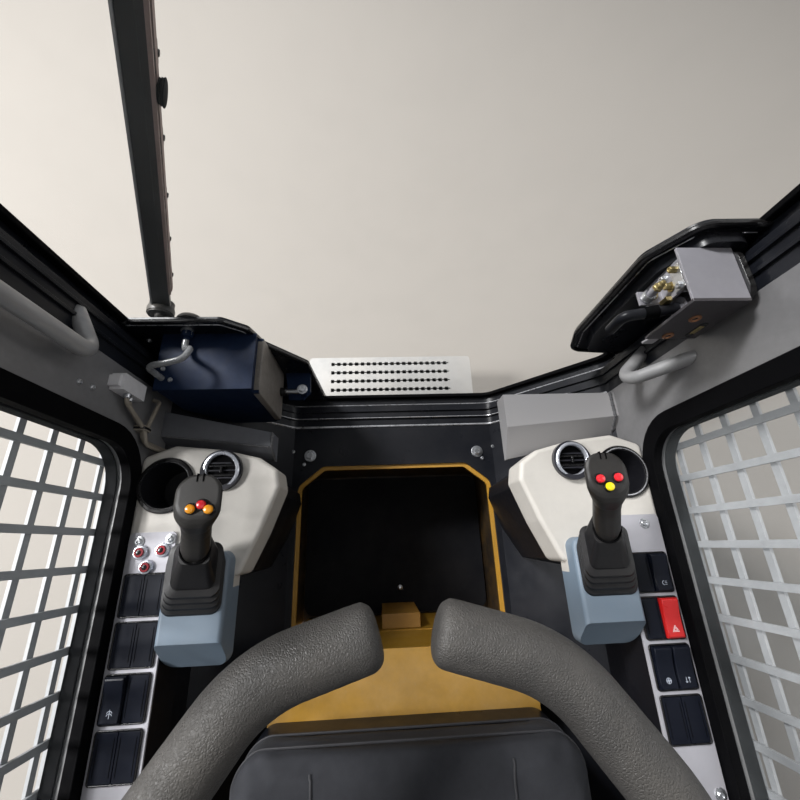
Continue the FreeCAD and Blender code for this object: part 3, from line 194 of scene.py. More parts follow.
def wrinkle_height(n, scale):
    """Height of a skin's small cells, with creases between them that a noise warps."""
    warp = n.add("TexNoise", {"Scale": scale * 0.5})
    n.link(n.place, warp.inputs["Vector"])
    small = n.vector("SCALE", warp.outputs["Color"])
    small.inputs["Scale"].default_value = 1.1 / scale
    shifted = n.vector("ADD", small.outputs[0], n.place)
    cells = n.add("TexVoronoi", {"Scale": scale}, feature="DISTANCE_TO_EDGE")
    n.link(shifted.outputs[0], cells.inputs["Vector"])
    return n.span(cells.outputs["Distance"], 0.02, 0.28)


def finish_of(name, colour, rough, metal=0.0, vary=0.18, mottle=7.0, grain=None, wear=0.0, dust=0.0, coat=0.0,
              edge=1.2, alpha=None, stretch=None, glow=0.0, recolour=None, wrinkle=None, gleam=0.5):
    """A procedural finish. vary and mottle are the depth and scale of its tone; grain and wrinkle are (scale, depth);
    wear lightens edges, which are rounded to edge mm; dust settles on what faces up; gleam is the specular level."""
    if name in MADE:
        return MADE[name]
    material = bpy.data.materials.new(name)
    n = Nodes(material)
    slots = n.shader.inputs
    for slot, value in (("Base Color", (*colour, 1)), ("Roughness", rough), ("Metallic", metal),
                        ("Specular IOR Level", gleam), ("Coat Weight", coat), ("Coat Roughness", COAT_ROUGHNESS)):
        slots[slot].default_value = value
    broad = n.noise(mottle, 5, 0.65, stretch)
    fine = n.noise(mottle * FINE, 3, 0.6, stretch)
    tone = n.math("ADD", n.times(broad, 0.65), n.times(fine, 0.35))
    colour_out = n.mix(n.span(tone, 0.3, 0.7), scaled(colour, 1 - vary), scaled(colour, 1 + vary))
    if recolour:
        colour_out = recolour(n, colour_out)
    rough_out = n.span(n.noise(mottle * ROUGH_PATCHES, 5, 0.7), 0.25, 0.75, max(0.02, rough - 0.09),
                       min(1, rough + 0.11))
    normal = None
    if edge:
        normal = n.add("Bevel", {"Radius": edge * MM}, samples=BEVEL_SAMPLES).outputs[0]
        if wear:
            colour_out = worn(n, normal, fine, wear, colour_out, scaled(colour, 2.4))
    if dust:
        settled = dust_share(n, broad, mottle, dust)
        colour_out = n.mix(settled, colour_out, DUST_COLOUR)
        rough_out = n.math("ADD", rough_out, n.times(settled, 0.35))
    n.link(colour_out, slots["Base Color"])
    n.link(rough_out, slots["Roughness"])
    if wrinkle:
        scale, depth = wrinkle
        normal = n.bump(wrinkle_height(n, scale), 1.0, depth)
    if grain:
        scale, depth = grain
        normal = n.bump(n.noise(scale, 3, 0.55, stretch), 0.9, depth, normal)
    if normal:
        n.link(normal, slots["Normal"])
    if alpha is not None:
        slots["Alpha"].default_value = alpha
        n.link(n.span(n.noise(mottle * 2, 6, 0.75), 0.45, 0.85, alpha, alpha + 0.03), slots["Alpha"])
    # glow: painted light, the piece emits some of its own colour though it is no lamp
    if glow:
        slots["Emission Color"].default_value = (*colour, 1)
        slots["Emission Strength"].default_value = glow
    MADE[name] = material
    return material


def paint(colour, rough, **more):
    """One row of the finishes below: the values that finish_of is given."""
    return dict(colour=colour, rough=rough, **more)


FINISHES = {
    # Of material slots of the record
    "chassis_paint": paint((0.4, 0.212, 0.022), 0.38, grain=(900, 0.05), wear=0.3, dust=0.25),
    "mat_rubber": paint((0.003, 0.0035, 0.006), 0.72, grain=(420, 0.25), dust=0.025, edge=2.0, gleam=0.2),
    "frame_paint": paint((0.009, 0.01, 0.0135), 0.32, grain=(1300, 0.04), wear=0.55, dust=0.03, gleam=0.2),
    "glass": paint((0.55, 0.6, 0.62), 0.03, vary=0.04, alpha=0.03, edge=0, coat=0.5),
    "screen_paint": paint((0.3, 0.31, 0.32), 0.45, wear=0.3, dust=0.2, grain=(700, 0.06), edge=0.6),
    "roof_plastic": paint((0.16, 0.16, 0.165), 0.55, grain=(1500, 0.1), dust=0.35),
    "trim_fabric": paint((0.36, 0.36, 0.37), 0.95, grain=(1800, 0.35), vary=0.1),
    "console_plastic": paint((0.53, 0.505, 0.465), 0.46, grain=(1700, 0.05), vary=0.06, dust=0.12),
    "switch_plate": paint((0.42, 0.415, 0.45), 0.4, metal=0.25, vary=0.06, grain=(1500, 0.03), dust=0.1,
                          wear=0.3, edge=0.6),
    # Its blue tint is painted skylight: the bluish cast of shade, on black switches.
    "switch_plastic": paint((0.004, 0.0055, 0.011), 0.34, vary=0.15, grain=(2500, 0.03), dust=0.012, gleam=0.14),
    "red_plastic": paint((0.55, 0.012, 0.012), 0.3, vary=0.08, coat=0.3),
    "boot_rubber": paint((0.008, 0.008, 0.0095), 0.46, grain=(900, 0.12), dust=0.05, edge=1.0, gleam=0.4),
    "grip_plastic": paint((0.019, 0.0175, 0.0165), 0.45, grain=(1400, 0.08), dust=0.04, edge=2.5),
    "vent_chrome": paint((0.02, 0.02, 0.026), 0.3, vary=0.1, edge=0.6),
    "black_plastic": paint((0.005, 0.005, 0.007), 0.48, grain=(1500, 0.06), dust=0.02, gleam=0.35),
    "seat_fabric": paint((0.024, 0.025, 0.03), 0.92, grain=(1400, 0.18), vary=0.25, edge=0),
    "step_metal": paint((0.4, 0.395, 0.385), 0.42, metal=0.35, grain=(700, 0.1), wear=0.5, dust=0.35,
                        vary=0.14, edge=0.5),
    "door_paint": paint((0.0065, 0.0075, 0.0105), 0.3, grain=(1300, 0.04), wear=0.45, dust=0.03, gleam=0.25),
    "latch_steel": paint((0.3, 0.295, 0.315), 0.42, metal=0.15, grain=(1200, 0.04), vary=0.08, wear=0.4,
                         dust=0.15, edge=0.8),
    "wiper_paint": paint((0.02, 0.0195, 0.019), 0.42, grain=(900, 0.12), wear=0.8, dust=0.2, vary=0.35, mottle=16),
    "pad_foam": paint((0.058, 0.055, 0.052), 0.5, grain=(700, 0.2), vary=0.16, dust=0.14, edge=0,
                      wrinkle=(400, 0.3)),
    # A light grey on tubes that are dark satin: painted light, for the sun on the right handle.
    "handle_paint": paint((0.3, 0.3, 0.305), 0.35, metal=0.2, grain=(900, 0.06), vary=0.25, dust=0.12,
                          stretch=(1, 1, 0.25)),
    "connector_plastic": paint((0.62, 0.61, 0.62), 0.5, vary=0.1, dust=0.1, edge=1.2),
    "cable_sheath": paint((0.24, 0.21, 0.17), 0.6, vary=0.25, dust=0.1, edge=0),
    # Of pieces that only this script has, and of CAD nodes that look unlike the rest of their slot
    "zinc": paint((0.55, 0.56, 0.58), 0.3, metal=0.9, vary=0.2, mottle=60, edge=0.5),
    "brass": paint((0.4, 0.32, 0.15), 0.34, metal=0.8, vary=0.25, mottle=50, edge=0.4),
    "copper": paint((0.45, 0.22, 0.12), 0.38, metal=0.85, vary=0.25, mottle=50, edge=0.4),
    "chrome": paint((0.66, 0.68, 0.74), 0.24, metal=0.65, vary=0.05, edge=0.3),
    # Bright metal lines that are painted highlights along edges.
    "highlight_line": paint((0.6, 0.6, 0.62), 0.28, metal=0.7, vary=0.35, mottle=30, edge=0),
    "black_gloss": paint((0.004, 0.004, 0.005), 0.24, vary=0.2, dust=0.03, edge=0.6),
    "gasket": paint((0.0025, 0.0025, 0.003), 0.7, grain=(900, 0.08), dust=0.004, edge=1.0, gleam=0.04),
    # amber, button_red and button_yellow glow a little: painted light on buttons that are no lamps.
    "amber": paint((0.85, 0.33, 0.01), 0.22, vary=0.06, coat=0.6, glow=0.12),
    "button_red": paint((0.72, 0.02, 0.03), 0.2, vary=0.06, coat=0.6, glow=0.1),
    "button_dark_red": paint((0.26, 0.012, 0.02), 0.22, vary=0.12, coat=0.6),
    "button_yellow": paint((0.82, 0.66, 0.01), 0.22, vary=0.06, coat=0.6, glow=0.12),
    "mark": paint((0.46, 0.5, 0.58), 0.6, vary=0.1, edge=0),
    "mark_white": paint((0.85, 0.8, 0.8), 0.6, vary=0.05, edge=0),
    "motor_blue": paint((0.006, 0.014, 0.038), 0.5, vary=0.3, dust=0.01, edge=1.0, gleam=0.12),
    # A lighter brown-grey for the wiper motor's end flange: painted light, for how the light falls on it.
    "flange_lit_grey": paint((0.16, 0.145, 0.13), 0.42, vary=0.3, mottle=20, dust=0.2, edge=1.0),
    "hose_clear": paint((0.2, 0.205, 0.21), 0.25, vary=0.2, mottle=30, coat=0.4, edge=0),
    "weld": paint((0.12, 0.12, 0.125), 0.35, metal=0.3, vary=0.4, mottle=120, edge=0),
    "blade_rubber": paint((0.3, 0.22, 0.2), 0.6, vary=0.2, mottle=40, edge=0),
    "lens": paint((0.7, 0.72, 0.74), 0.1, vary=0.05, coat=0.8, edge=0.8),
    "piping": paint((0.03, 0.03, 0.034), 0.7, vary=0.2, grain=(900, 0.1), edge=0),
    "pillar_grey": paint((0.165, 0.163, 0.166), 0.36, vary=0.16, wear=0.3, dust=0.1, grain=(1200, 0.05)),
    # A dark bluish grey: painted shade on the left bracket; the right one is lightened below.
    "bracket_grey": paint((0.12, 0.125, 0.14), 0.34, vary=0.16, wear=0.3, dust=0.08, grain=(1200, 0.05)),
    # Its cheek towards the seat is darkened below: painted shade.
    "latch_cover": paint((0.3, 0.295, 0.325), 0.42, metal=0.15, grain=(1200, 0.04), vary=0.08, wear=0.4,
                         dust=0.1, edge=0.8),
    # A darker brown than the chassis yellow: painted shade on the seat box's front riser.
    "ledge_shaded_paint": paint((0.34, 0.17, 0.03), 0.45, vary=0.15, dust=0.1),
    "tub_paint": paint((0.42, 0.215, 0.022), 0.42, grain=(900, 0.05), wear=0.3, dust=0.1),
}


def pod_tone(n, colour_out):
    """The joystick pods are moulded in a blue-grey of their own: above the console's top, or behind its cover."""
    _, along, up = n.split(n.place)
    pod = n.math("MAXIMUM", n.math("GREATER_THAN", up, 0.4404), n.math("LESS_THAN", along, 0.1255))
    return n.mix(pod, colour_out, (0.145, 0.19, 0.24))


def tub_shade_tone(n, colour_out):
    """The footwell's walls are darkened to near black inside, patchy with noise: painted shade, below a strip along
    its lip that keeps its yellow.
    """
    across, along, up = n.split(n.place)
    inside = n.span(up, 0.195, 0.180)
    for test, source, limit in (("LESS_THAN", n.math("ABSOLUTE", across), 0.218), ("LESS_THAN", along, 0.342),
                                ("GREATER_THAN", up, 0.004), ("GREATER_THAN", along, 0.010)):
        inside = n.times(inside, n.math(test, source, limit))
    # painted shade: the inside of the footwell darkened, made patchy by a noise
    painted_shade = n.times(inside, n.span(n.noise(30, 4, 0.7), 0.2, 0.6, 0.8, 0.98))
    return n.mix(painted_shade, colour_out, (0.012, 0.010, 0.009))


def bracket_light_tone(n, colour_out):
    """The right bracket is made a lighter grey than the left one: painted light, for the side that the light falls on.
    """
    across = n.split(n.place)[0]
    return n.mix(n.math("GREATER_THAN", across, 0.0), colour_out, (0.29, 0.285, 0.29))


def latch_shade_tone(n, colour_out):
    """The latch's cheek towards the seat is darkened: painted shade, for the side that faces away from the light."""
    along = n.split(n.place)[1]
    return n.mix(n.math("LESS_THAN", along, 0.4054), colour_out, (0.052, 0.048, 0.054))


RECOLOURED = {"latch_cover": latch_shade_tone, "bracket_grey": bracket_light_tone, "console_plastic": pod_tone,
              "tub_paint": tub_shade_tone}


def finish(name):
    return finish_of(name, recolour=RECOLOURED.get(name), **FINISHES[name])


# Mesh building, in millimetres in the row frame

# Where an outline's two coordinates and its thickness go, by the axis that it is thick along
THICK_ALONG = {"x": lambda u, v, w: (w, u, v), "y": lambda u, v, w: (u, w, v), "z": lambda u, v, w: (u, v, w)}
TIP_RADIUS = 0.01
SHARP_ANGLE, BEVEL_ANGLE = 35, 40


class Form:
    """Collects plain shapes in millimetres, then makes one piece of them."""

    def __init__(self):
        self.points = []
        self.faces = []

    def add(self, points, faces):
        start = len(self.points)
        self.points += [Vector(point) for point in points]
        self.faces += [[start + k for k in face] for face in faces]

    def block(self, low, high):
        x, y, z = zip(low, high)
        points = [(x[a], y[b], z[c]) for c in (0, 1) for b in (0, 1) for a in (0, 1)]
        self.add(points, [(0, 2, 3, 1), (4, 5, 7, 6), (0, 1, 5, 4), (2, 6, 7, 3), (0, 4, 6, 2), (1, 3, 7, 5)])

    def prism(self, outline, axis, low, high):
        """A plate from an outline, thick along x, y or z."""
        place = THICK_ALONG[axis]
        count = len(outline)
        points = [place(u, v, w) for w in (low, high) for u, v in outline]
        sides = [(k, (k + 1) % count, count + (k + 1) % count, count + k) for k in range(count)]
        self.add(points, [tuple(range(count)), tuple(range(2 * count - 1, count - 1, -1))] + sides)

    def ring(self, outer, inner, axis, low, high):
        """A flat ring between two outlines with the same number of points."""
        place = THICK_ALONG[axis]
        count = len(outer)
        points = [place(u, v, w) for w in (low, high) for loop in (outer, inner) for u, v in loop]
        faces = []
        for k in range(count):
            after = (k + 1) % count
            for a, b in ((0, 1), (1, 3), (3, 2), (2, 0)):
                faces.append((a * count + k, a * count + after, b * count + after, b * count + k))
        self.add(points, faces)

    def lathe(self, profile, place, axis=(0, 0, 1), steps=28, hollow=False):
        """A turned shape: profile of radius and height along the axis, from place; hollow closes it to a ring."""
        up = Vector(axis).normalized()
        across = up.orthogonal().normalized()
        along = up.cross(across)
        points = []
        for radius, height in profile:
            for k in range(steps):
                turn = 2 * pi * k / steps
                points.append(Vector(place) + up * height
                              + (across * cos(turn) + along * sin(turn)) * max(radius, TIP_RADIUS))
        faces = []
        rows = len(profile)
        for row in range(rows if hollow else rows - 1):
            lower, upper = row * steps, (row + 1) % rows * steps
            for k in range(steps):
                after = (k + 1) % steps
                faces.append((lower + k, lower + after, upper + after, upper + k))
        if not hollow:
            faces.append(tuple(range(steps - 1, -1, -1)))
            faces.append(tuple(range((rows - 1) * steps, rows * steps)))
        self.add(points, faces)

    def rod(self, start, end, radius, steps):
        start, end = Vector(start), Vector(end)
        self.lathe([(radius, 0), (radius, (end - start).length)], start, end - start, steps)

    def bead(self, path, radius, steps, closed=False):
        """A round strip along a path."""
        path = [Vector(point) for point in path]
        count = len(path)
        normal = None
        points = []
        for k in range(count):
            ahead = path[(k + 1) % count] if closed or k + 1 < count else path[k]
            behind = path[k - 1] if closed or k else path[k]
            tangent = (ahead - behind).normalized()
            normal = (tangent.orthogonal() if normal is None else normal - tangent * normal.dot(tangent)).normalized()
            side = tangent.cross(normal)
            for j in range(steps):
                turn = 2 * pi * j / steps
                points.append(path[k] + (normal * cos(turn) + side * sin(turn)) * radius)
        faces = []
        for k in range(count if closed else count - 1):
            after = (k + 1) % count
            for j in range(steps):
                nxt = (j + 1) % steps
                faces.append((k * steps + j, k * steps + nxt, after * steps + nxt, after * steps + j))
        if not closed:
            faces += [tuple(range(steps - 1, -1, -1)), tuple(range((count - 1) * steps, count * steps))]
        self.add(points, faces)

    def weld(self, start, end, radius):
        """A weld bead: overlapping drops along a line."""
        start, end = Vector(start), Vector(end)
        count = max(2, int((end - start).length / (radius * 0.9)))
        for k in range(count):
            centre = start.lerp(end, (k + 0.5) / count)
            size = radius * (0.85 + 0.3 * ((k * 37) % 10) / 10)
            axis = (end - start).normalized()
            self.lathe([(0.1, -size), (size * 0.75, -size * 0.6), (size, 0), (size * 0.75, size * 0.6), (0.1, size)],
                       centre, axis, 8)

    def bolt(self, place, axis=(0, 0, 1), head=8.0, washer=12.5, high=6.0):
        """A washer, a hexagon head and its shallow dish."""
        self.lathe([(washer, 0), (washer, 1.6), (washer - 0.8, 2.2), (head, 2.2)], place, axis, 28)
        base = Vector(place) + Vector(axis).normalized() * 2.2
        self.lathe([(head, 0), (head, high * 0.85), (head * 0.86, high), (head * 0.45, high), (head * 0.4, high - 1)],
                   base, axis, 6)

    def screw(self, place, radius, axis=(0, 0, 1)):
        """A round head with a hexagon socket."""
        self.lathe([(radius, 0), (radius, 1.0), (radius * 0.8, 2.2), (radius * 0.5, 2.6), (radius * 0.48, 1.2)],
                   place, axis, 18)

    def piece(self, name, look, body, slot, bevel=0.0, turn=None):
        """Makes one object of what was collected, with its finish and the body it rides on; its material slot is given
        but not used.
        """
        mesh = bpy.data.meshes.new(name)
        points = [(turn @ point if turn else point) * MM for point in self.points]
        mesh.from_pydata(points, [], self.faces)
        work = bmesh.new()
        work.from_mesh(mesh)
        bmesh.ops.recalc_face_normals(work, faces=work.faces)
        work.to_mesh(mesh)
        work.free()
        mesh.shade_smooth()
        mesh.set_sharp_from_angle(angle=radians(SHARP_ANGLE))
        item = placed(name, mesh)
        mesh.materials.append(finish(look))
        if bevel:
            assign(item.modifiers.new("bevel", "BEVEL"), width=bevel * MM, segments=2, limit_method="ANGLE",
                   angle_limit=radians(BEVEL_ANGLE))
        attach(item, body)


def turned(points, radius, steps=6, closed=True):
    """An outline with its corners turned to arcs, save the two ends of an open one."""
    out = []
    count = len(points)
    for k, point in enumerate(points):
        corner = Vector(point)
        if not closed and k in (0, count - 1):
            out.append(corner)
            continue
        back = Vector(points[k - 1]) - corner
        ahead = Vector(points[(k + 1) % count]) - corner
        half = back.angle(ahead) / 2
        reach = min(radius / tan(half), back.length * 0.49, ahead.length * 0.49)
        size = reach * tan(half)
        middle = (back.normalized() + ahead.normalized()).normalized()
        centre = corner + middle * (size / sin(half))
        first = corner + back.normalized() * reach - centre
        last = corner + ahead.normalized() * reach - centre
        sweep = first.angle(last)
        share = sin(sweep) or 1
        for step in range(steps + 1):
            arm = (first * sin((1 - step / steps) * sweep) + last * sin(step / steps * sweep)) / share
            out.append(centre + arm)
    return out


# Door opening, repeated from the CAD: half width of the sill, its height, side, top of the slope, head, corners
SILL_HALF, SILL_Z, SIDE, SLOPE_TOP, HEAD, DOOR_CORNER = 215, 200, 386, 384, 1440, 26
LEAN = atan((SLOPE_TOP - SILL_Z) / (SIDE - SILL_HALF))


def door_outline(offset):
    """The door opening's outline, moved outward by an offset."""
    right = [(SILL_HALF + offset * tan(LEAN / 2), SILL_Z - offset),
             (SIDE + offset, SLOPE_TOP - offset * tan((pi / 2 - LEAN) / 2)), (SIDE + offset, HEAD + offset)]
    return turned(right + [(-u, v) for u, v in reversed(right)], DOOR_CORNER + offset)


def rectangle(u_low, u_high, v_low, v_high):
    return [(u_low, v_low), (u_high, v_low), (u_high, v_high), (u_low, v_high)]


def panel(u, v, half_u, half_v, radius, steps=5):
    """A rounded rectangle about a middle."""
    return turned([(u + a, v + b) for a, b in rectangle(-half_u, half_u, -half_v, half_v)], radius, steps)


def strip(form, outline, corner, y, radius, steps, lift=0):
    """Lays a bead along an open outline that stands across the cab."""
    form.bead([(u, y, v + lift) for u, v in turned(outline, corner, 8, closed=False)], radius, steps)


# Soft pieces

# Cover, CAD node, finish, body; voxel, most swell and first shrink in mm; fill
SOFT = (
    ("seat_cushion_cover", "seat_cushion", "seat_fabric", "cab", 6, 12, 7, 0.7),
    ("seat_back_cover", "seat_back", "seat_fabric", "cab", 6, 10, 7, 0.7),
    ("lap_pad_left_cover", "lap_pad_left", "pad_foam", "lap_bar", 4, 2.5, 0.5, 0.95),
    ("lap_pad_right_cover", "lap_pad_right", "pad_foam", "lap_bar", 4, 2.5, 0.5, 0.95),
)
CLOTH = dict(quality=5, mass=0.3, use_pressure=True, uniform_pressure_force=4, tension_stiffness=25,
             compression_stiffness=12, bending_stiffness=4)
CLOTH_FRAMES = 20


def bake(item):
    """Applies an object's modifiers to its mesh."""
    graph = bpy.context.evaluated_depsgraph_get()
    made = bpy.data.meshes.new_from_object(item.evaluated_get(graph))
    item.modifiers.clear()
    old = item.data
    item.data = made
    bpy.data.meshes.remove(old)


def blow_up(item):
    """Swells an object as cloth under pressure."""
    cloth = item.modifiers.new("cloth", "CLOTH")
    assign(cloth.settings, **CLOTH)
    cloth.settings.effector_weights.gravity = 0
    cloth.collision_settings.use_collision = False
    scene = bpy.context.scene
    for number in range(1, CLOTH_FRAMES + 1):
        scene.frame_set(number)
    bake(item)
    scene.frame_set(1)


def stuffed(name, node, look, body, voxel, swell, shrink, fill):
    """A padded piece in place of a soft CAD solid: its cover is blown up as cloth, then held to its limit."""
    mesh = NODES[node].data.copy()
    low, high = [Vector(corner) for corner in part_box(node)]
    middle = (low + high) / 2
    for vert in mesh.vertices:
        for axis in range(3):
            half = (high[axis] - low[axis]) / 2
            vert.co[axis] = middle[axis] + (vert.co[axis] - middle[axis]) * (1 - min(0.5, shrink * MM / half))
    item = placed(name, mesh)
    bpy.context.view_layer.objects.active = item
    assign(item.modifiers.new("remesh", "REMESH"), mode="VOXEL", voxel_size=voxel * MM)
    bake(item)
    start = [vert.co.copy() for vert in item.data.vertices]
    blow_up(item)
    for vert, before in zip(item.data.vertices, start):
        move = vert.co - before
        if move.length > swell * MM:
            vert.co = before + move.normalized() * swell * MM
        vert.co.z = max(vert.co.z, low.z)
    assign(item.modifiers.new("smooth", "SMOOTH"), factor=0.5, iterations=4)
    assign(item.modifiers.new("finer", "SUBSURF"), levels=1, render_levels=1)
    bake(item)
    item.data.shade_smooth()
    item.data.materials.clear()
    item.data.materials.append(finish(look))
    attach(item, body)
    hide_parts(node)
    return item


# Finishes of the CAD nodes that look unlike the rest of their slot
NODE_LOOKS = {"washer_hose": "hose_clear", "wiper_motor_housing": "motor_blue", "door_seal": "gasket",
              "side_frame_left": "pillar_grey", "side_frame_right": "pillar_grey", "frame_brackets": "bracket_grey",
              "push_buttons": "button_dark_red", "footwell_tub": "tub_paint", "door_latch": "latch_cover"}


def dress_nodes():
    for name, item in NODES.items():
        item.data.materials.clear()
        item.data.materials.append(finish(NODE_LOOKS.get(name, SLOTS[name])))


def build_soft():
    cushion, back, _, _ = [stuffed(*row) for row in SOFT]
    seams = Form()
    for z in (433, 392):
        seam_on(seams, cushion, [(x, y, z) for x, y in turned(rectangle(-230, 230, -440, -44), 50, 10)])
    for x in (-118, 118):
        seam_on(seams, cushion, [(x, -425 + k * 6, 475) for k in range(62)], closed=False)
    seams.piece("seat_cushion_seams", "piping", "cab", "seat_fabric")
    seams = Form()
    for y in (-430, -488):
        seam_on(seams, back, [(x, y, z) for x, z in turned(rectangle(-215, 215, 458, 1008), 60, 10)])
    for x in (-110, 110):
        seam_on(seams, back, [(x, -380, 480 + k * 8) for k in range(64)], closed=False)
    seams.piece("seat_back_seams", "piping", "cab", "seat_fabric")


def seam_on(form, cover, path, closed=True):
    """Lays a thin cord along a path, dropped to the nearest point of a soft cover."""
    points = []
    for point in path:
        found, place, normal, _ = cover.closest_point_on_mesh(Vector(point) * MM)
        if found:
            points.append((place + normal * 0.0004) / MM)
    form.bead(points, 1.6, 8, closed=closed)


# Deck, sill and frames


def build_deck():
    bolts = Form()
    for x in (-180, 180):
        bolts.bolt((x, 356, 200))
    bolts.screw((10, 78, 20), 6)
    for x, y in ((-216, 366), (216, 366), (-192, 338), (190, 341)):
        bolts.screw((x, y, 200 + max(0, abs(x) - 215) * 1.07), 4)
    bolts.piece("deck_bolts", "zinc", "cab", "latch_steel")
    # The seat box's front riser, in a darker yellow that is painted shade.
    ledge = Form()
    ledge.block((-34, 20, 6), (41, 46, 178))
    ledge.piece("seat_box_ledge", "ledge_shaded_paint", "cab", "chassis_paint", bevel=1.5)
    beads = Form()
    beads.weld((-214, 418, 200), (-386, 418, 384), 1.8)
    beads.weld((214, 418, 200), (386, 418, 384), 1.8)
    beads.weld((-208, 311, 371), (-208, 327, 401), 2.6)
    beads.weld((-208, 327, 402), (-208, 352, 402), 2.4)
    beads.weld((-379, 350, 402), (-212, 328, 402), 2.2)
    beads.weld((379, 366, 402), (379, 411, 402), 3.0)
    beads.weld((380, 340, 373), (380, 367, 401), 3.0)
    beads.piece("frame_welds", "weld", "cab", "frame_paint")


def build_sill():
    """Bright lines along the edges round the door opening, which are painted highlights, and gaskets."""
    line = Form()
    strip(line, [(-386, 384), (-215, 200), (215, 200), (386, 384)], 26, 418.5, 2.3, 8, lift=0.4)
    strip(line, [(-384, 386), (-213, 204), (213, 204), (384, 386)], 24, 437, 0.9, 6)
    # The sill's bright edge lines are painted highlights.
    line.piece("sill_edge", "highlight_line", "cab", "frame_paint")
    lip = Form()
    lip.bead([(u, 474.6, v) for u, v in door_outline(19.6)], 1.3, 6, closed=True)
    # A painted highlight along the door's inner edge.
    lip.piece("door_inner_edge", "highlight_line", "door", "door_paint")
    pane = Form()
    pane.ring(door_outline(20.2), door_outline(9), "y", 489, 497.0)
    pane.piece("door_pane_seal", "gasket", "door", "hose_rubber", bevel=1.5)


def build_windows():
    """A black gasket round each side window, inside and out, and the rear window's."""
    for tag, side in (("left", -1), ("right", 1)):
        inner = turned(rectangle(-366, 314, 459, 1366), 56, 8)
        outer = turned(rectangle(-392, 340, 436, 1392), 74, 8)
        low, high = sorted((side * 386, side * 383.5))
        form = Form()
        form.ring(outer, inner, "x", low, high)
        for near, far in ((384, 397.8), (404.2, 419.5)):
            low, high = sorted((side * near, side * far))
            form.ring(turned(rectangle(-369.8, 317.8, 455.2, 1369.8), 59, 8),
                      turned(rectangle(-366.5, 314.5, 458.5, 1366.5), 56, 8), "x", low, high)
        form.piece("window_gasket_" + tag, "gasket", "cab", "hose_rubber", bevel=0.8)
    form = Form()
    form.ring(turned(rectangle(-322, 322, 628, 1372), 66, 8), turned(rectangle(-304, 304, 646, 1354), 56, 8),
              "y", -570, -566)
    form.piece("rear_window_gasket", "gasket", "cab", "hose_rubber", bevel=0.8)


# Consoles and controls

CUP_X, CUP_Y, VENT_X, VENT_Y, TOP = 345, 265, 266, 284, 440
# Rows of rockers, two in each, at ROCKER_X from SWITCH_X; the far row is towards the door
SWITCH_X, ROCKER_X, PLATE_TOP = 350, 12.9, 443
SWITCH_ROWS = FAR_ROW, HAZARD_ROW, NEAR_ROW, _ = 121, 63.5, 6, -51.5
# Top of a raised rocker: places along it and their heights
ROCKER_FACE = ((-22.6, 449.4), (-16, 448.8), (-6, 448.4), (6, 449.0), (14, 450.6), (21.5, 451.8))


def build_consoles():
    rims, chrome, tabs, wells = Form(), Form(), Form(), Form()
    for side in (-1, 1):
        place = (side * CUP_X, CUP_Y, TOP)
        rims.lathe([(40.2, 0), (40.6, 2.6), (39.0, 4.6), (35.2, 4.8), (33.6, 2.0), (33.3, -3), (34, -3.2)], place,
                   steps=48, hollow=True)
        lean = Vector((side * 0.10, -0.16, 1)).normalized()
        x = side * VENT_X
        vent = Vector((x, VENT_Y, TOP + 7.6))
        chrome.lathe([(27.5, -1.5), (27.8, 0.6), (26.4, 2.2), (24.2, 2.6), (22.3, 0.4), (22.1, -3)], vent, lean, 44,
                     hollow=True)
        wells.lathe([(22.4, -9), (22.4, -6.5), (0.1, -6.5)], vent, lean, 36)
        for along in (-7.5, 6.5):
            tabs.block((x - 19, VENT_Y + along - 1.4, TOP + 3.2), (x + 19, VENT_Y + along + 1.4, TOP + 5.4))
        tabs.block((x - 1.6, VENT_Y - 4, TOP + 3.4), (x + 1.6, VENT_Y + 5, TOP + 8.4))
    rims.piece("cup_rims", "black_gloss", "cab", "black_plastic")
    chrome.piece("vent_rings", "chrome", "cab", "vent_chrome")
    wells.piece("vent_wells", "gasket", "cab", "black_plastic")
    tabs.piece("vent_louvres", "black_gloss", "cab", "vent_chrome", bevel=0.5)
    # A bright ring on the right cup's rim only: a painted highlight, for the side that the light falls on.
    ring = Form()
    ring.lathe([(37.2, 4.2), (36.9, 5.2), (35.4, 5.2), (35.2, 4.2)], (CUP_X, CUP_Y, TOP), steps=48, hollow=True)
    ring.piece("cup_ring_right", "highlight_line", "cab", "switch_plate")


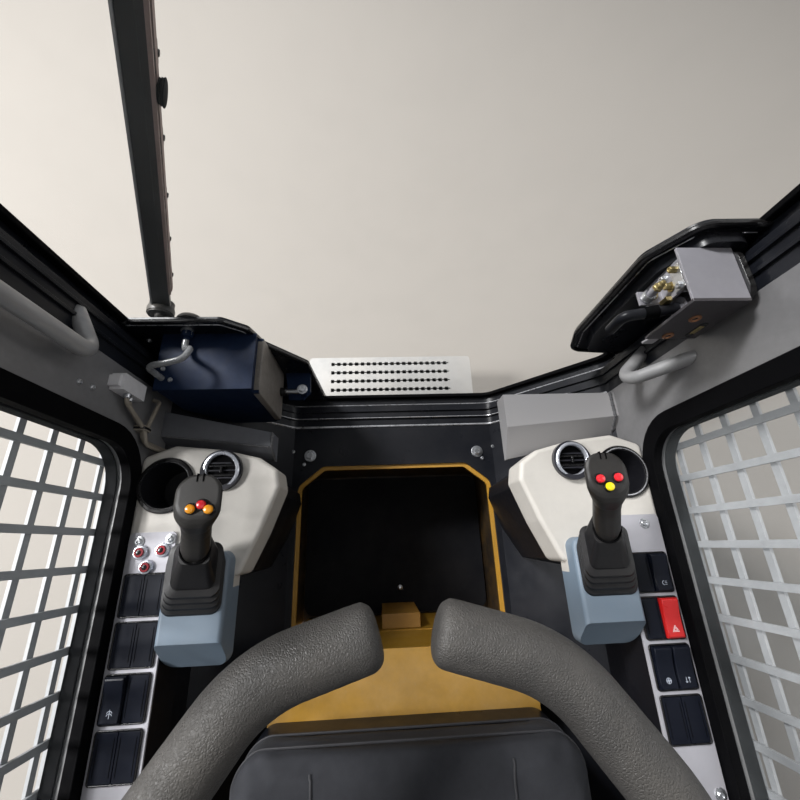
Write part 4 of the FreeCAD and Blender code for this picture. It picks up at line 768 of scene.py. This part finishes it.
def build_switches():
    frames, gaps = Form(), Form()
    for side in (-1, 1):
        middle = side * SWITCH_X
        for row in SWITCH_ROWS:
            frames.ring(panel(middle, row, 28, 26.8, 4.5), panel(middle, row, 25.9, 24.9, 2.5), "z",
                        PLATE_TOP - 0.2, PLATE_TOP + 2.2)
            for half in (-1, 1):
                for seam in (9.4, -9.4):
                    x = middle + half * ROCKER_X + seam
                    gaps.block((x - 0.35, row - 19, 444.4), (x + 0.35, row + 19, 445.3))
    frames.piece("switch_bezels", "black_gloss", "cab", "switch_plastic", bevel=0.6)
    gaps.piece("switch_seams", "gasket", "cab", "switch_plastic")
    caps, red = Form(), Form()
    profile = [(-23.4, 446.6), (23.4, 446.6), (23.9, 450.6), *reversed(ROCKER_FACE), (-23.8, 448.6)]
    for side, row, half in ((-1, NEAR_ROW, -1), (1, FAR_ROW, 1), (1, HAZARD_ROW, 1), (1, NEAR_ROW, -1),
                            (1, NEAR_ROW, 1)):
        form = red if row == HAZARD_ROW else caps
        x = side * SWITCH_X + half * ROCKER_X
        form.prism([(row + along, high) for along, high in profile], "x", x - 11.6, x + 11.6)
    caps.piece("rocker_caps", "switch_plastic", "cab", "switch_plastic", bevel=1.5)
    red.piece("hazard_cap", "red_plastic", "cab", "red_plastic", bevel=1.5)
    screws = Form()
    for x, y in ((-367, 188), (-325, 190), (358, 187), (372, -128), (-372, -128)):
        screws.lathe([(7.2, 0), (7.2, 1.0), (6.4, 1.5), (5.2, 1.5)], (x, y, PLATE_TOP), steps=24)
        screws.screw((x, y, PLATE_TOP + 1.2), 4.6)
    screws.piece("plate_screws", "zinc", "cab", "latch_steel")
    chrome, caps = Form(), Form()
    for x, y in ((-362, 174), (-333, 176), (-351, 155)):
        chrome.lathe([(9.4, 0), (9.4, 2.6), (8.4, 4.4), (6.6, 4.8), (6.2, 4.4), (6.1, 0)], (x, y, PLATE_TOP), steps=28,
                     hollow=True)
        caps.lathe([(3.4, 6.5), (3.4, 7.5), (2.6, 7.9), (0.1, 8.0)], (x, y, PLATE_TOP), steps=20)
    chrome.piece("push_button_rings", "chrome", "cab", "vent_chrome")
    caps.piece("push_button_caps", "black_gloss", "cab", "red_plastic")


def line_mark(form, points, wide, lift=0.1):
    """A painted line on a switch: thin plates along points given as across, along and height."""
    for (x0, y0, z0), (x1, y1, z1) in zip(points, points[1:]):
        run = Vector((x1 - x0, y1 - y0, 0))
        if run.length < 0.01:
            continue
        side = Vector((-run.y, run.x, 0)).normalized() * wide / 2
        corners = []
        for up in (lift, lift + 0.12):
            for x, y, z, sign in ((x0, y0, z0, 1), (x1, y1, z1, 1), (x1, y1, z1, -1), (x0, y0, z0, -1)):
                corners.append((x + sign * side.x, y + sign * side.y, z + up))
        form.add(corners, [(0, 1, 2, 3), (7, 6, 5, 4), (0, 4, 5, 1), (1, 5, 6, 2), (2, 6, 7, 3), (3, 7, 4, 0)])


def rocker_top(along):
    """Height of a raised rocker's face at a place along its length from the middle."""
    for (a, za), (b, zb) in zip(ROCKER_FACE, ROCKER_FACE[1:]):
        if a <= along <= b:
            return za + (zb - za) * (along - a) / (b - a)
    return ROCKER_FACE[-1][1]


def circle(across, along, radius, row, start=0.0, sweep=1.0, steps=14):
    """Points of an arc on a rocker's face; start and sweep are shares of a turn."""
    points = []
    for k in range(steps + 1):
        turn = 2 * pi * (start + sweep * k / steps)
        y = along + radius * sin(turn)
        points.append((across + radius * cos(turn), row + y, rocker_top(y)))
    return points


# Place of a symbol along its rocker
SYMBOL = -14


def build_symbols():
    """Plain generic symbols: a lamp, a fan, two arrows, two arcs with a stroke, and a warning triangle."""
    marks = Form()
    outer, inner = SWITCH_X + ROCKER_X, SWITCH_X - ROCKER_X
    y, z = NEAR_ROW + SYMBOL, rocker_top(SYMBOL)
    line_mark(marks, circle(outer, SYMBOL, 2.6, FAR_ROW, start=0.25, sweep=0.5), 0.6)
    for ray in (-2, 0, 2):
        beam = FAR_ROW + SYMBOL + ray
        line_mark(marks, [(outer + 1, beam, z), (outer + 4, beam, z)], 0.5)
    line_mark(marks, circle(inner, SYMBOL, 3.2, NEAR_ROW), 0.5)
    for k in range(4):
        turn = pi / 2 * k
        line_mark(marks, [(inner, y, z), (inner + 2.6 * cos(turn), y + 2.6 * sin(turn), z)], 1.0)
    for sign in (-1, 1):
        x = outer + 2 * sign
        line_mark(marks, [(x, NEAR_ROW - 17, rocker_top(-17)), (x, NEAR_ROW - 11, rocker_top(-11))], 0.6)
        line_mark(marks, [(x - 1.4, y + 1.6 * sign, z), (x, y + 3 * sign, z), (x + 1.4, y + 1.6 * sign, z)], 0.6)
    for along in (SYMBOL, -16.5):
        line_mark(marks, circle(-outer, along, 3.4, NEAR_ROW, start=0.05, sweep=0.4), 0.6)
    line_mark(marks, [(-outer, NEAR_ROW - 9, rocker_top(-9)), (-outer, NEAR_ROW - 18, rocker_top(-18))], 0.6)
    marks.piece("switch_symbols", "mark", "cab", "switch_plate")
    triangle = Form()
    for size in (5.0, 2.6):
        points = []
        for k in range(4):
            turn = pi / 2 + 2 * pi * k / 3
            along = SYMBOL + size * sin(turn)
            points.append((outer + size * cos(turn), HAZARD_ROW + along, rocker_top(along)))
        line_mark(triangle, points, 0.5, 0.12)
    triangle.piece("hazard_triangle", "mark_white", "cab", "switch_plate")


# Joysticks, repeated from the CAD: place of the pod's top, height of the head over it, lean inward and forward
POD_X, POD_Y, POD_Z, HEAD_UP, LEAN_IN = 276, 132, 466, 134, 50
LEAN_FORWARD = {-1: 96, 1: 108}


def stick_axis(side, up):
    """The joystick's axis at a height above the pod."""
    share = up / HEAD_UP
    return Vector((side * (POD_X - share * LEAN_IN), POD_Y + share * LEAN_FORWARD[side], POD_Z + up))


# Thumb buttons: side, place across and along from the middle of the head, finish
THUMB = (
    (-1, 5, -10, "button_red"), (-1, -6, -14, "amber"), (-1, 13, -15, "amber"),
    (1, -10, -8, "button_red"), (1, 11, -7, "button_red"), (1, -1, -17, "button_yellow"),
)


def build_sticks():
    collars, slits = Form(), Form()
    for side, across, along, _ in THUMB:
        top = stick_axis(side, HEAD_UP) + Vector((across, along, 0.3))
        collars.lathe([(6.3, -7), (6.3, 0.7), (5.7, 1.5), (4.9, 1.5), (4.8, -7)], top, steps=22, hollow=True)
    collars.piece("thumb_button_collars", "black_gloss", "cab", "grip_plastic")
    for look in ("button_red", "amber", "button_yellow"):
        caps = Form()
        for side, across, along, cap in THUMB:
            if cap == look:
                top = stick_axis(side, HEAD_UP) + Vector((across, along, 0.8))
                caps.lathe([(4.7, 0), (4.7, 3.0), (4.2, 4.0), (3.0, 4.6), (0.1, 4.9)], top, steps=22)
        caps.piece("thumb_" + look, look, "cab", "red_plastic")
    for side in (-1, 1):
        for across in (-3.5, 3.0):
            top = stick_axis(side, HEAD_UP) + Vector((across, 19.5, -1.5))
            slits.block(top + Vector((-0.6, -5, -2)), top + Vector((0.6, 4, 2.2)))
        ring = [stick_axis(side, 60.5) + Vector((17.6 * cos(t), 17.2 * sin(t), 0.8))
                for t in [2 * pi * k / 32 for k in range(32)]]
        slits.bead(ring, 1.3, 8, closed=True)
    slits.piece("grip_notches", "gasket", "cab", "grip_plastic")


# Door


def build_door_trim():
    bead, line = Form(), Form()
    strip(bead, [(405, 716), (330, 714), (296, 660), (297, 480), (316, 420), (405, 408)], 28, 489.5, 4.2, 10)
    strip(line, [(402, 703), (337, 702), (306, 655), (307, 482), (322, 430)], 24, 488.6, 0.8, 6)
    strip(bead, [(-405, 524), (-262, 524), (-230, 498), (-219, 450), (-162, 376), (-156, 184)], 14, 489.5, 3.6, 10)
    strip(line, [(-402, 515), (-266, 515), (-238, 493), (-228, 452)], 14, 488.6, 0.8, 6)
    bead.piece("corner_plate_beading", "black_gloss", "door", "hose_rubber")
    # A painted highlight along the corner plate's edge.
    line.piece("corner_plate_edge", "highlight_line", "door", "door_paint")


def build_latch():
    brass = Form()
    brass.lathe([(6, 0), (6, 3), (4.4, 4), (4.4, 8), (3.2, 9), (3.2, 12), (1.5, 13)], (290, 436, 672), (0, 0, 1), 6)
    brass.bolt((312, 441, 668), (-1, 0, 0), 4.4, 6, 7)
    brass.bolt((312, 453, 683), (-1, 0, 0), 4, 5.5, 9)
    brass.bolt((300, 441, 651), (0, 0, 1), 4, 6, 4)
    brass.block((305, 425, 651), (312, 431, 664))
    brass.block((352, 400.6, 628), (358, 402.4, 645))
    brass.piece("latch_brass", "brass", "door", "latch_steel", bevel=0.5)
    zinc = Form()
    zinc.block((309, 428, 674), (312, 459, 689))
    zinc.bead([(290 + 6.2 * cos(turn), 436 + 6.2 * sin(turn), 652 + turn * 0.29)
               for turn in [k * pi / 8 for k in range(80)]], 1.1, 6)
    for y, z in ((433, 682), (455, 662)):
        zinc.bolt((312, y, z), (-1, 0, 0), 4, 6, 4)
    zinc.piece("latch_spring", "zinc", "door", "latch_steel")
    rivets, dark = Form(), Form()
    for x, z in ((333, 662), (328, 623)):
        rivets.lathe([(6.6, 0), (6.6, 1.4), (5.2, 2.0), (3.4, 1.2), (3.0, 0.4)], (x, 402, z), (0, -1, 0), 24)
        dark.lathe([(3.2, 0), (3.2, 0.8)], (x, 402, z), (0, -1, 0), 18)
    rivets.piece("latch_rivets", "copper", "door", "latch_steel")
    dark.prism(turned(rectangle(350, 360, 620, 652), 4.5, 5), "y", 401.2, 402.2)
    dark.prism(turned(rectangle(406, 471, 598, 701), 14, 5), "x", 370.3, 377.5)
    dark.piece("latch_recess", "black_gloss", "door", "black_plastic", bevel=0.8)
    flange = Form()
    flange.prism(turned([(308, 600), (324, 600), (324, 618), (312, 618)], 2, 3), "y", 402.5, 405)
    flange.piece("latch_foot", "latch_steel", "door", "latch_steel", bevel=0.5)
    sleeve = Form()
    sleeve.rod((300, 418.2, 652.2), (285, 417.6, 648.3), 7.6, 18)
    sleeve.piece("lever_sleeve", "gasket", "door", "hose_rubber", bevel=0.8)


def build_motor():
    # The motor's end cap, lighter than the housing: painted light.
    cap = Form()
    cap.prism(turned(rectangle(395.5, 489, 329, 472), 9, 5), "x", -223.6, -213.2)
    cap.piece("motor_end_cap", "flange_lit_grey", "door", "black_plastic", bevel=1.2)
    metal = Form()
    metal.rod((-203.5, 446, 347), (-172, 446, 347), 4.3, 16)
    metal.bolt((-172, 446, 357), (0, 0, 1), 6.5, 9.5, 5)
    metal.lathe([(9.5, 0), (9.5, 3), (7.2, 3)], (-320, 489, 499), (0, -1, 0), 28)
    for x, y in ((-339, 412), (-352, 430)):
        metal.screw((x, y, 488), 3.6)
    for x, z in ((-392, 470), (-388, 330), (-182, 250)):
        metal.screw((x, 489, z), 4.4, (0, -1, 0))
    metal.piece("motor_hardware", "zinc", "door", "latch_steel")
    nut = Form()
    nut.lathe([(9.2, 3), (9.2, 11), (8, 12.5), (5.4, 12.5), (5.2, 17), (4.8, 18)], (-320, 489, 499), (0, -1, 0), 6)
    nut.piece("hose_nut", "motor_blue", "door", "black_plastic", bevel=0.5)
    strut = Form()
    strut.lathe([(8.2, 0), (8.2, 12), (7, 13.4), (4.4, 13.4)], (-215.5, 446, 347), (1, 0, 0), 24)
    strut.piece("strut_barrel", "black_gloss", "door", "black_plastic")
    knobs = Form()
    for x, z in ((-378, 508), (-373, 522)):
        knobs.lathe([(3.4, -2), (4.8, -1), (5.2, 2), (4.6, 4), (3.2, 5)], (x, 375.5, z), (0, -1, 0), 16)
    for y, z in ((368, 570), (366, 592)):
        knobs.screw((-386, y, z), 3.6, (1, 0, 0))
    knobs.piece("cable_plugs", "zinc", "cab", "latch_steel")
    tie = Form()
    tie.block((-385.6, 341.5, 458.4), (-369.4, 345.5, 476.6))
    tie.piece("cable_tie", "black_gloss", "cab", "black_plastic", bevel=1.0)
    grommet = Form()
    for place in ((-376, 326, 373), (-368, 320, 364.6)):
        grommet.lathe([(6.5, -1), (6.5, 3), (5, 5), (3.2, 5.2)], place, (0.73, 0, 0.68), 18)
    grommet.piece("cable_grommets", "gasket", "cab", "hose_rubber")


# Wiper, repeated from the CAD: place of its spindle and the arm's angle at rest
WIPER_X, WIPER_Z, WIPER_ANGLE = -359, 509, -66.2


def build_wiper():
    """Wiper details in the wiper's own frame: along the arm, out from the pane, across."""
    place = Matrix.Translation((WIPER_X, 0, WIPER_Z)) @ Matrix.Rotation(radians(WIPER_ANGLE), 4, "Y")
    flanges = Form()
    flanges.prism([(8, -12.6), (440, -8.6), (440, -7.2), (8, -11.2)], "y", 518.2, 526.6)
    flanges.piece("wiper_arm_flange", "wiper_paint", "wiper", "wiper_paint", turn=place)
    edge = Form()
    edge.prism([(8, 12.8), (440, 8.8), (440, 6.6), (8, 10.6)], "y", 517.0, 526.6)
    edge.piece("wiper_arm_edge", "handle_paint", "wiper", "handle_paint", turn=place)
    lip = Form()
    lip.block((70, 505.2, -17.4), (666, 508.4, -14.2))
    lip.block((70, 511, -18.0), (666, 519, -16.0))
    lip.piece("wiper_blade_lip", "blade_rubber", "wiper", "wiper_paint", turn=place)
    yokes = Form()
    for along in (96, 168, 236, 304, 376, 470, 560, 640):
        yokes.block((along - 9, 509.5, -17.6), (along + 9, 523.5, -9.4))
        yokes.rod((along, 521, -19), (along, 521, -8), 2.6, 12)
    yokes.piece("wiper_yokes", "black_gloss", "wiper", "wiper_paint", bevel=0.8, turn=place)
    pins = Form()
    for along in (132, 150, 202, 262, 280, 330):
        pins.block((along - 5, 520.0, -15.2), (along + 5, 522.2, -12.0))
    pins.piece("wiper_clips", "zinc", "wiper", "latch_steel", bevel=0.4, turn=place)
    disc = Form()
    for k in range(4):
        root, rim = 7 + k * 0.8, 8.5 + k * 0.7
        disc.lathe([(root, 0), (rim, 0.5), (rim, 1.3), (root, 1.8)], (352, 514, -15.5 - k * 1.9), (0, 0, -1), 26)
    disc.piece("wiper_disc", "gasket", "wiper", "wiper_paint", turn=place)
    hub = Form()
    hub.lathe([(18.5, -7), (19, 0), (17, 7), (12, 10.5), (4, 12), (0.1, 12)], (0, 518, 0), (0, 1, 0), 32)
    hub.piece("wiper_hub_cap", "wiper_paint", "wiper", "wiper_paint", turn=place)
    dome = Form()
    dome.lathe([(19, 0), (19, 3), (16, 7), (9, 9.6), (0.1, 10.4)], (-318, 503, 500), (0, 1, 0), 32)
    dome.bead([(-300, 507, 494), (-286, 508, 488), (-268, 508, 486), (-250, 506, 478)], 3.2, 10)
    dome.piece("washer_jet", "wiper_paint", "door", "wiper_paint")


# Work lamps and the step's slots, repeated from the CAD
LAMP_X, LAMP_Z = 320, 1591
SLOT_ROWS, SLOT_FIRST, SLOT_PITCH, SLOT_HALF = 5, 505, 23, 147


def build_outside():
    """Lamp lenses and rims, screen bolts, and dark strips under the step's slots that are painted shade, for the shade
    below them.
    """
    lens, rims = Form(), Form()
    for side in (-1, 1):
        x = side * LAMP_X
        lens.prism(panel(x, LAMP_Z, 45, 27, 9), "y", 494, 498)
        rims.ring(panel(x, LAMP_Z, 54, 36, 14, 6), panel(x, LAMP_Z, 46, 28, 8, 6), "y", 495, 501)
    lens.piece("lamp_lenses", "lens", "cab", "vent_chrome", bevel=1.5)
    rims.piece("lamp_rims", "black_gloss", "cab", "black_plastic", bevel=1.0)
    bolts = Form()
    for side in (-1, 1):
        for y in (-380, -26, 330):
            for z in (437, 1388):
                bolts.lathe([(6.5, -1.5), (6.5, -0.6), (5.6, -0.1), (2.6, -0.1), (2.4, -1.2)], (side * 430, y, z),
                            (side, 0, 0), 18)
    bolts.piece("outer_bolts", "zinc", "cab", "latch_steel")
    # Dark strips under the step's slots: painted shade, not a part of the step.
    shade_strips = Form()
    for row in range(SLOT_ROWS):
        y = SLOT_FIRST + row * SLOT_PITCH
        shade_strips.block((-SLOT_HALF - 4, y - 7, 138.6), (SLOT_HALF + 4, y + 7, 139.8))
    shade_strips.piece("step_slot_painted_shade", "gasket", "cab", "black_plastic")


FLOOR_HALF, FLOOR_COLOUR, FLOOR_ROUGH = 9, (0.27, 0.25, 0.225, 1), 0.9


def build_stage():
    mesh = bpy.data.meshes.new("floor")
    corners = rectangle(-FLOOR_HALF, FLOOR_HALF, -FLOOR_HALF, FLOOR_HALF)
    mesh.from_pydata([(x, y, 0) for x, y in corners], [], [(0, 1, 2, 3)])
    floor = placed("floor", mesh)
    material = bpy.data.materials.new("floor")
    n = Nodes(material)
    n.shader.inputs["Base Color"].default_value = FLOOR_COLOUR
    n.shader.inputs["Roughness"].default_value = FLOOR_ROUGH
    mesh.materials.append(material)


SKY_COLOUR, SKY_STRENGTH = (0.93, 0.96, 1, 1), 0.36
# Lamps: name, place, place looked at, size, power
LAMPS = (
    ("front_left", (-3.0, 3.0, 3.9), (0.30, 0.30, 0.5), 1.2, 390),
    ("left_side", (-3.0, 0.3, 2.8), (0.2, 0.0, 0.6), 0.7, 230),
    ("right_side", (3.0, 0.6, 2.2), (-0.2, 0.2, 0.5), 2.0, 35),
)


def build_light():
    world = bpy.data.worlds.new("world")
    bpy.context.scene.world = world
    world.use_nodes = True
    sky = world.node_tree.nodes["Background"]
    sky.inputs["Color"].default_value = SKY_COLOUR
    sky.inputs["Strength"].default_value = SKY_STRENGTH
    for name, place, aim, size, power in LAMPS:
        lamp = area_lamp(name, place, size, power)
        lamp.rotation_euler = (Vector(aim) - Vector(place)).to_track_quat("-Z", "Y").to_euler()
    inside = area_lamp("inside", (0, -0.1, 1.46), 0.62, 1.0)
    inside.visible_camera = False
    bpy.context.scene.view_settings.view_transform = "Standard"


def area_lamp(name, place, size, power):
    light = bpy.data.lights.new(name, "AREA")
    light.energy = power
    light.size = size
    item = placed(name, light)
    item.location = place
    return item


make_camera()
dress_nodes()
build_soft()
build_deck()
build_sill()
build_windows()
build_consoles()
build_switches()
build_symbols()
build_sticks()
build_door_trim()
build_latch()
build_motor()
build_wiper()
build_outside()
build_stage()
build_light()
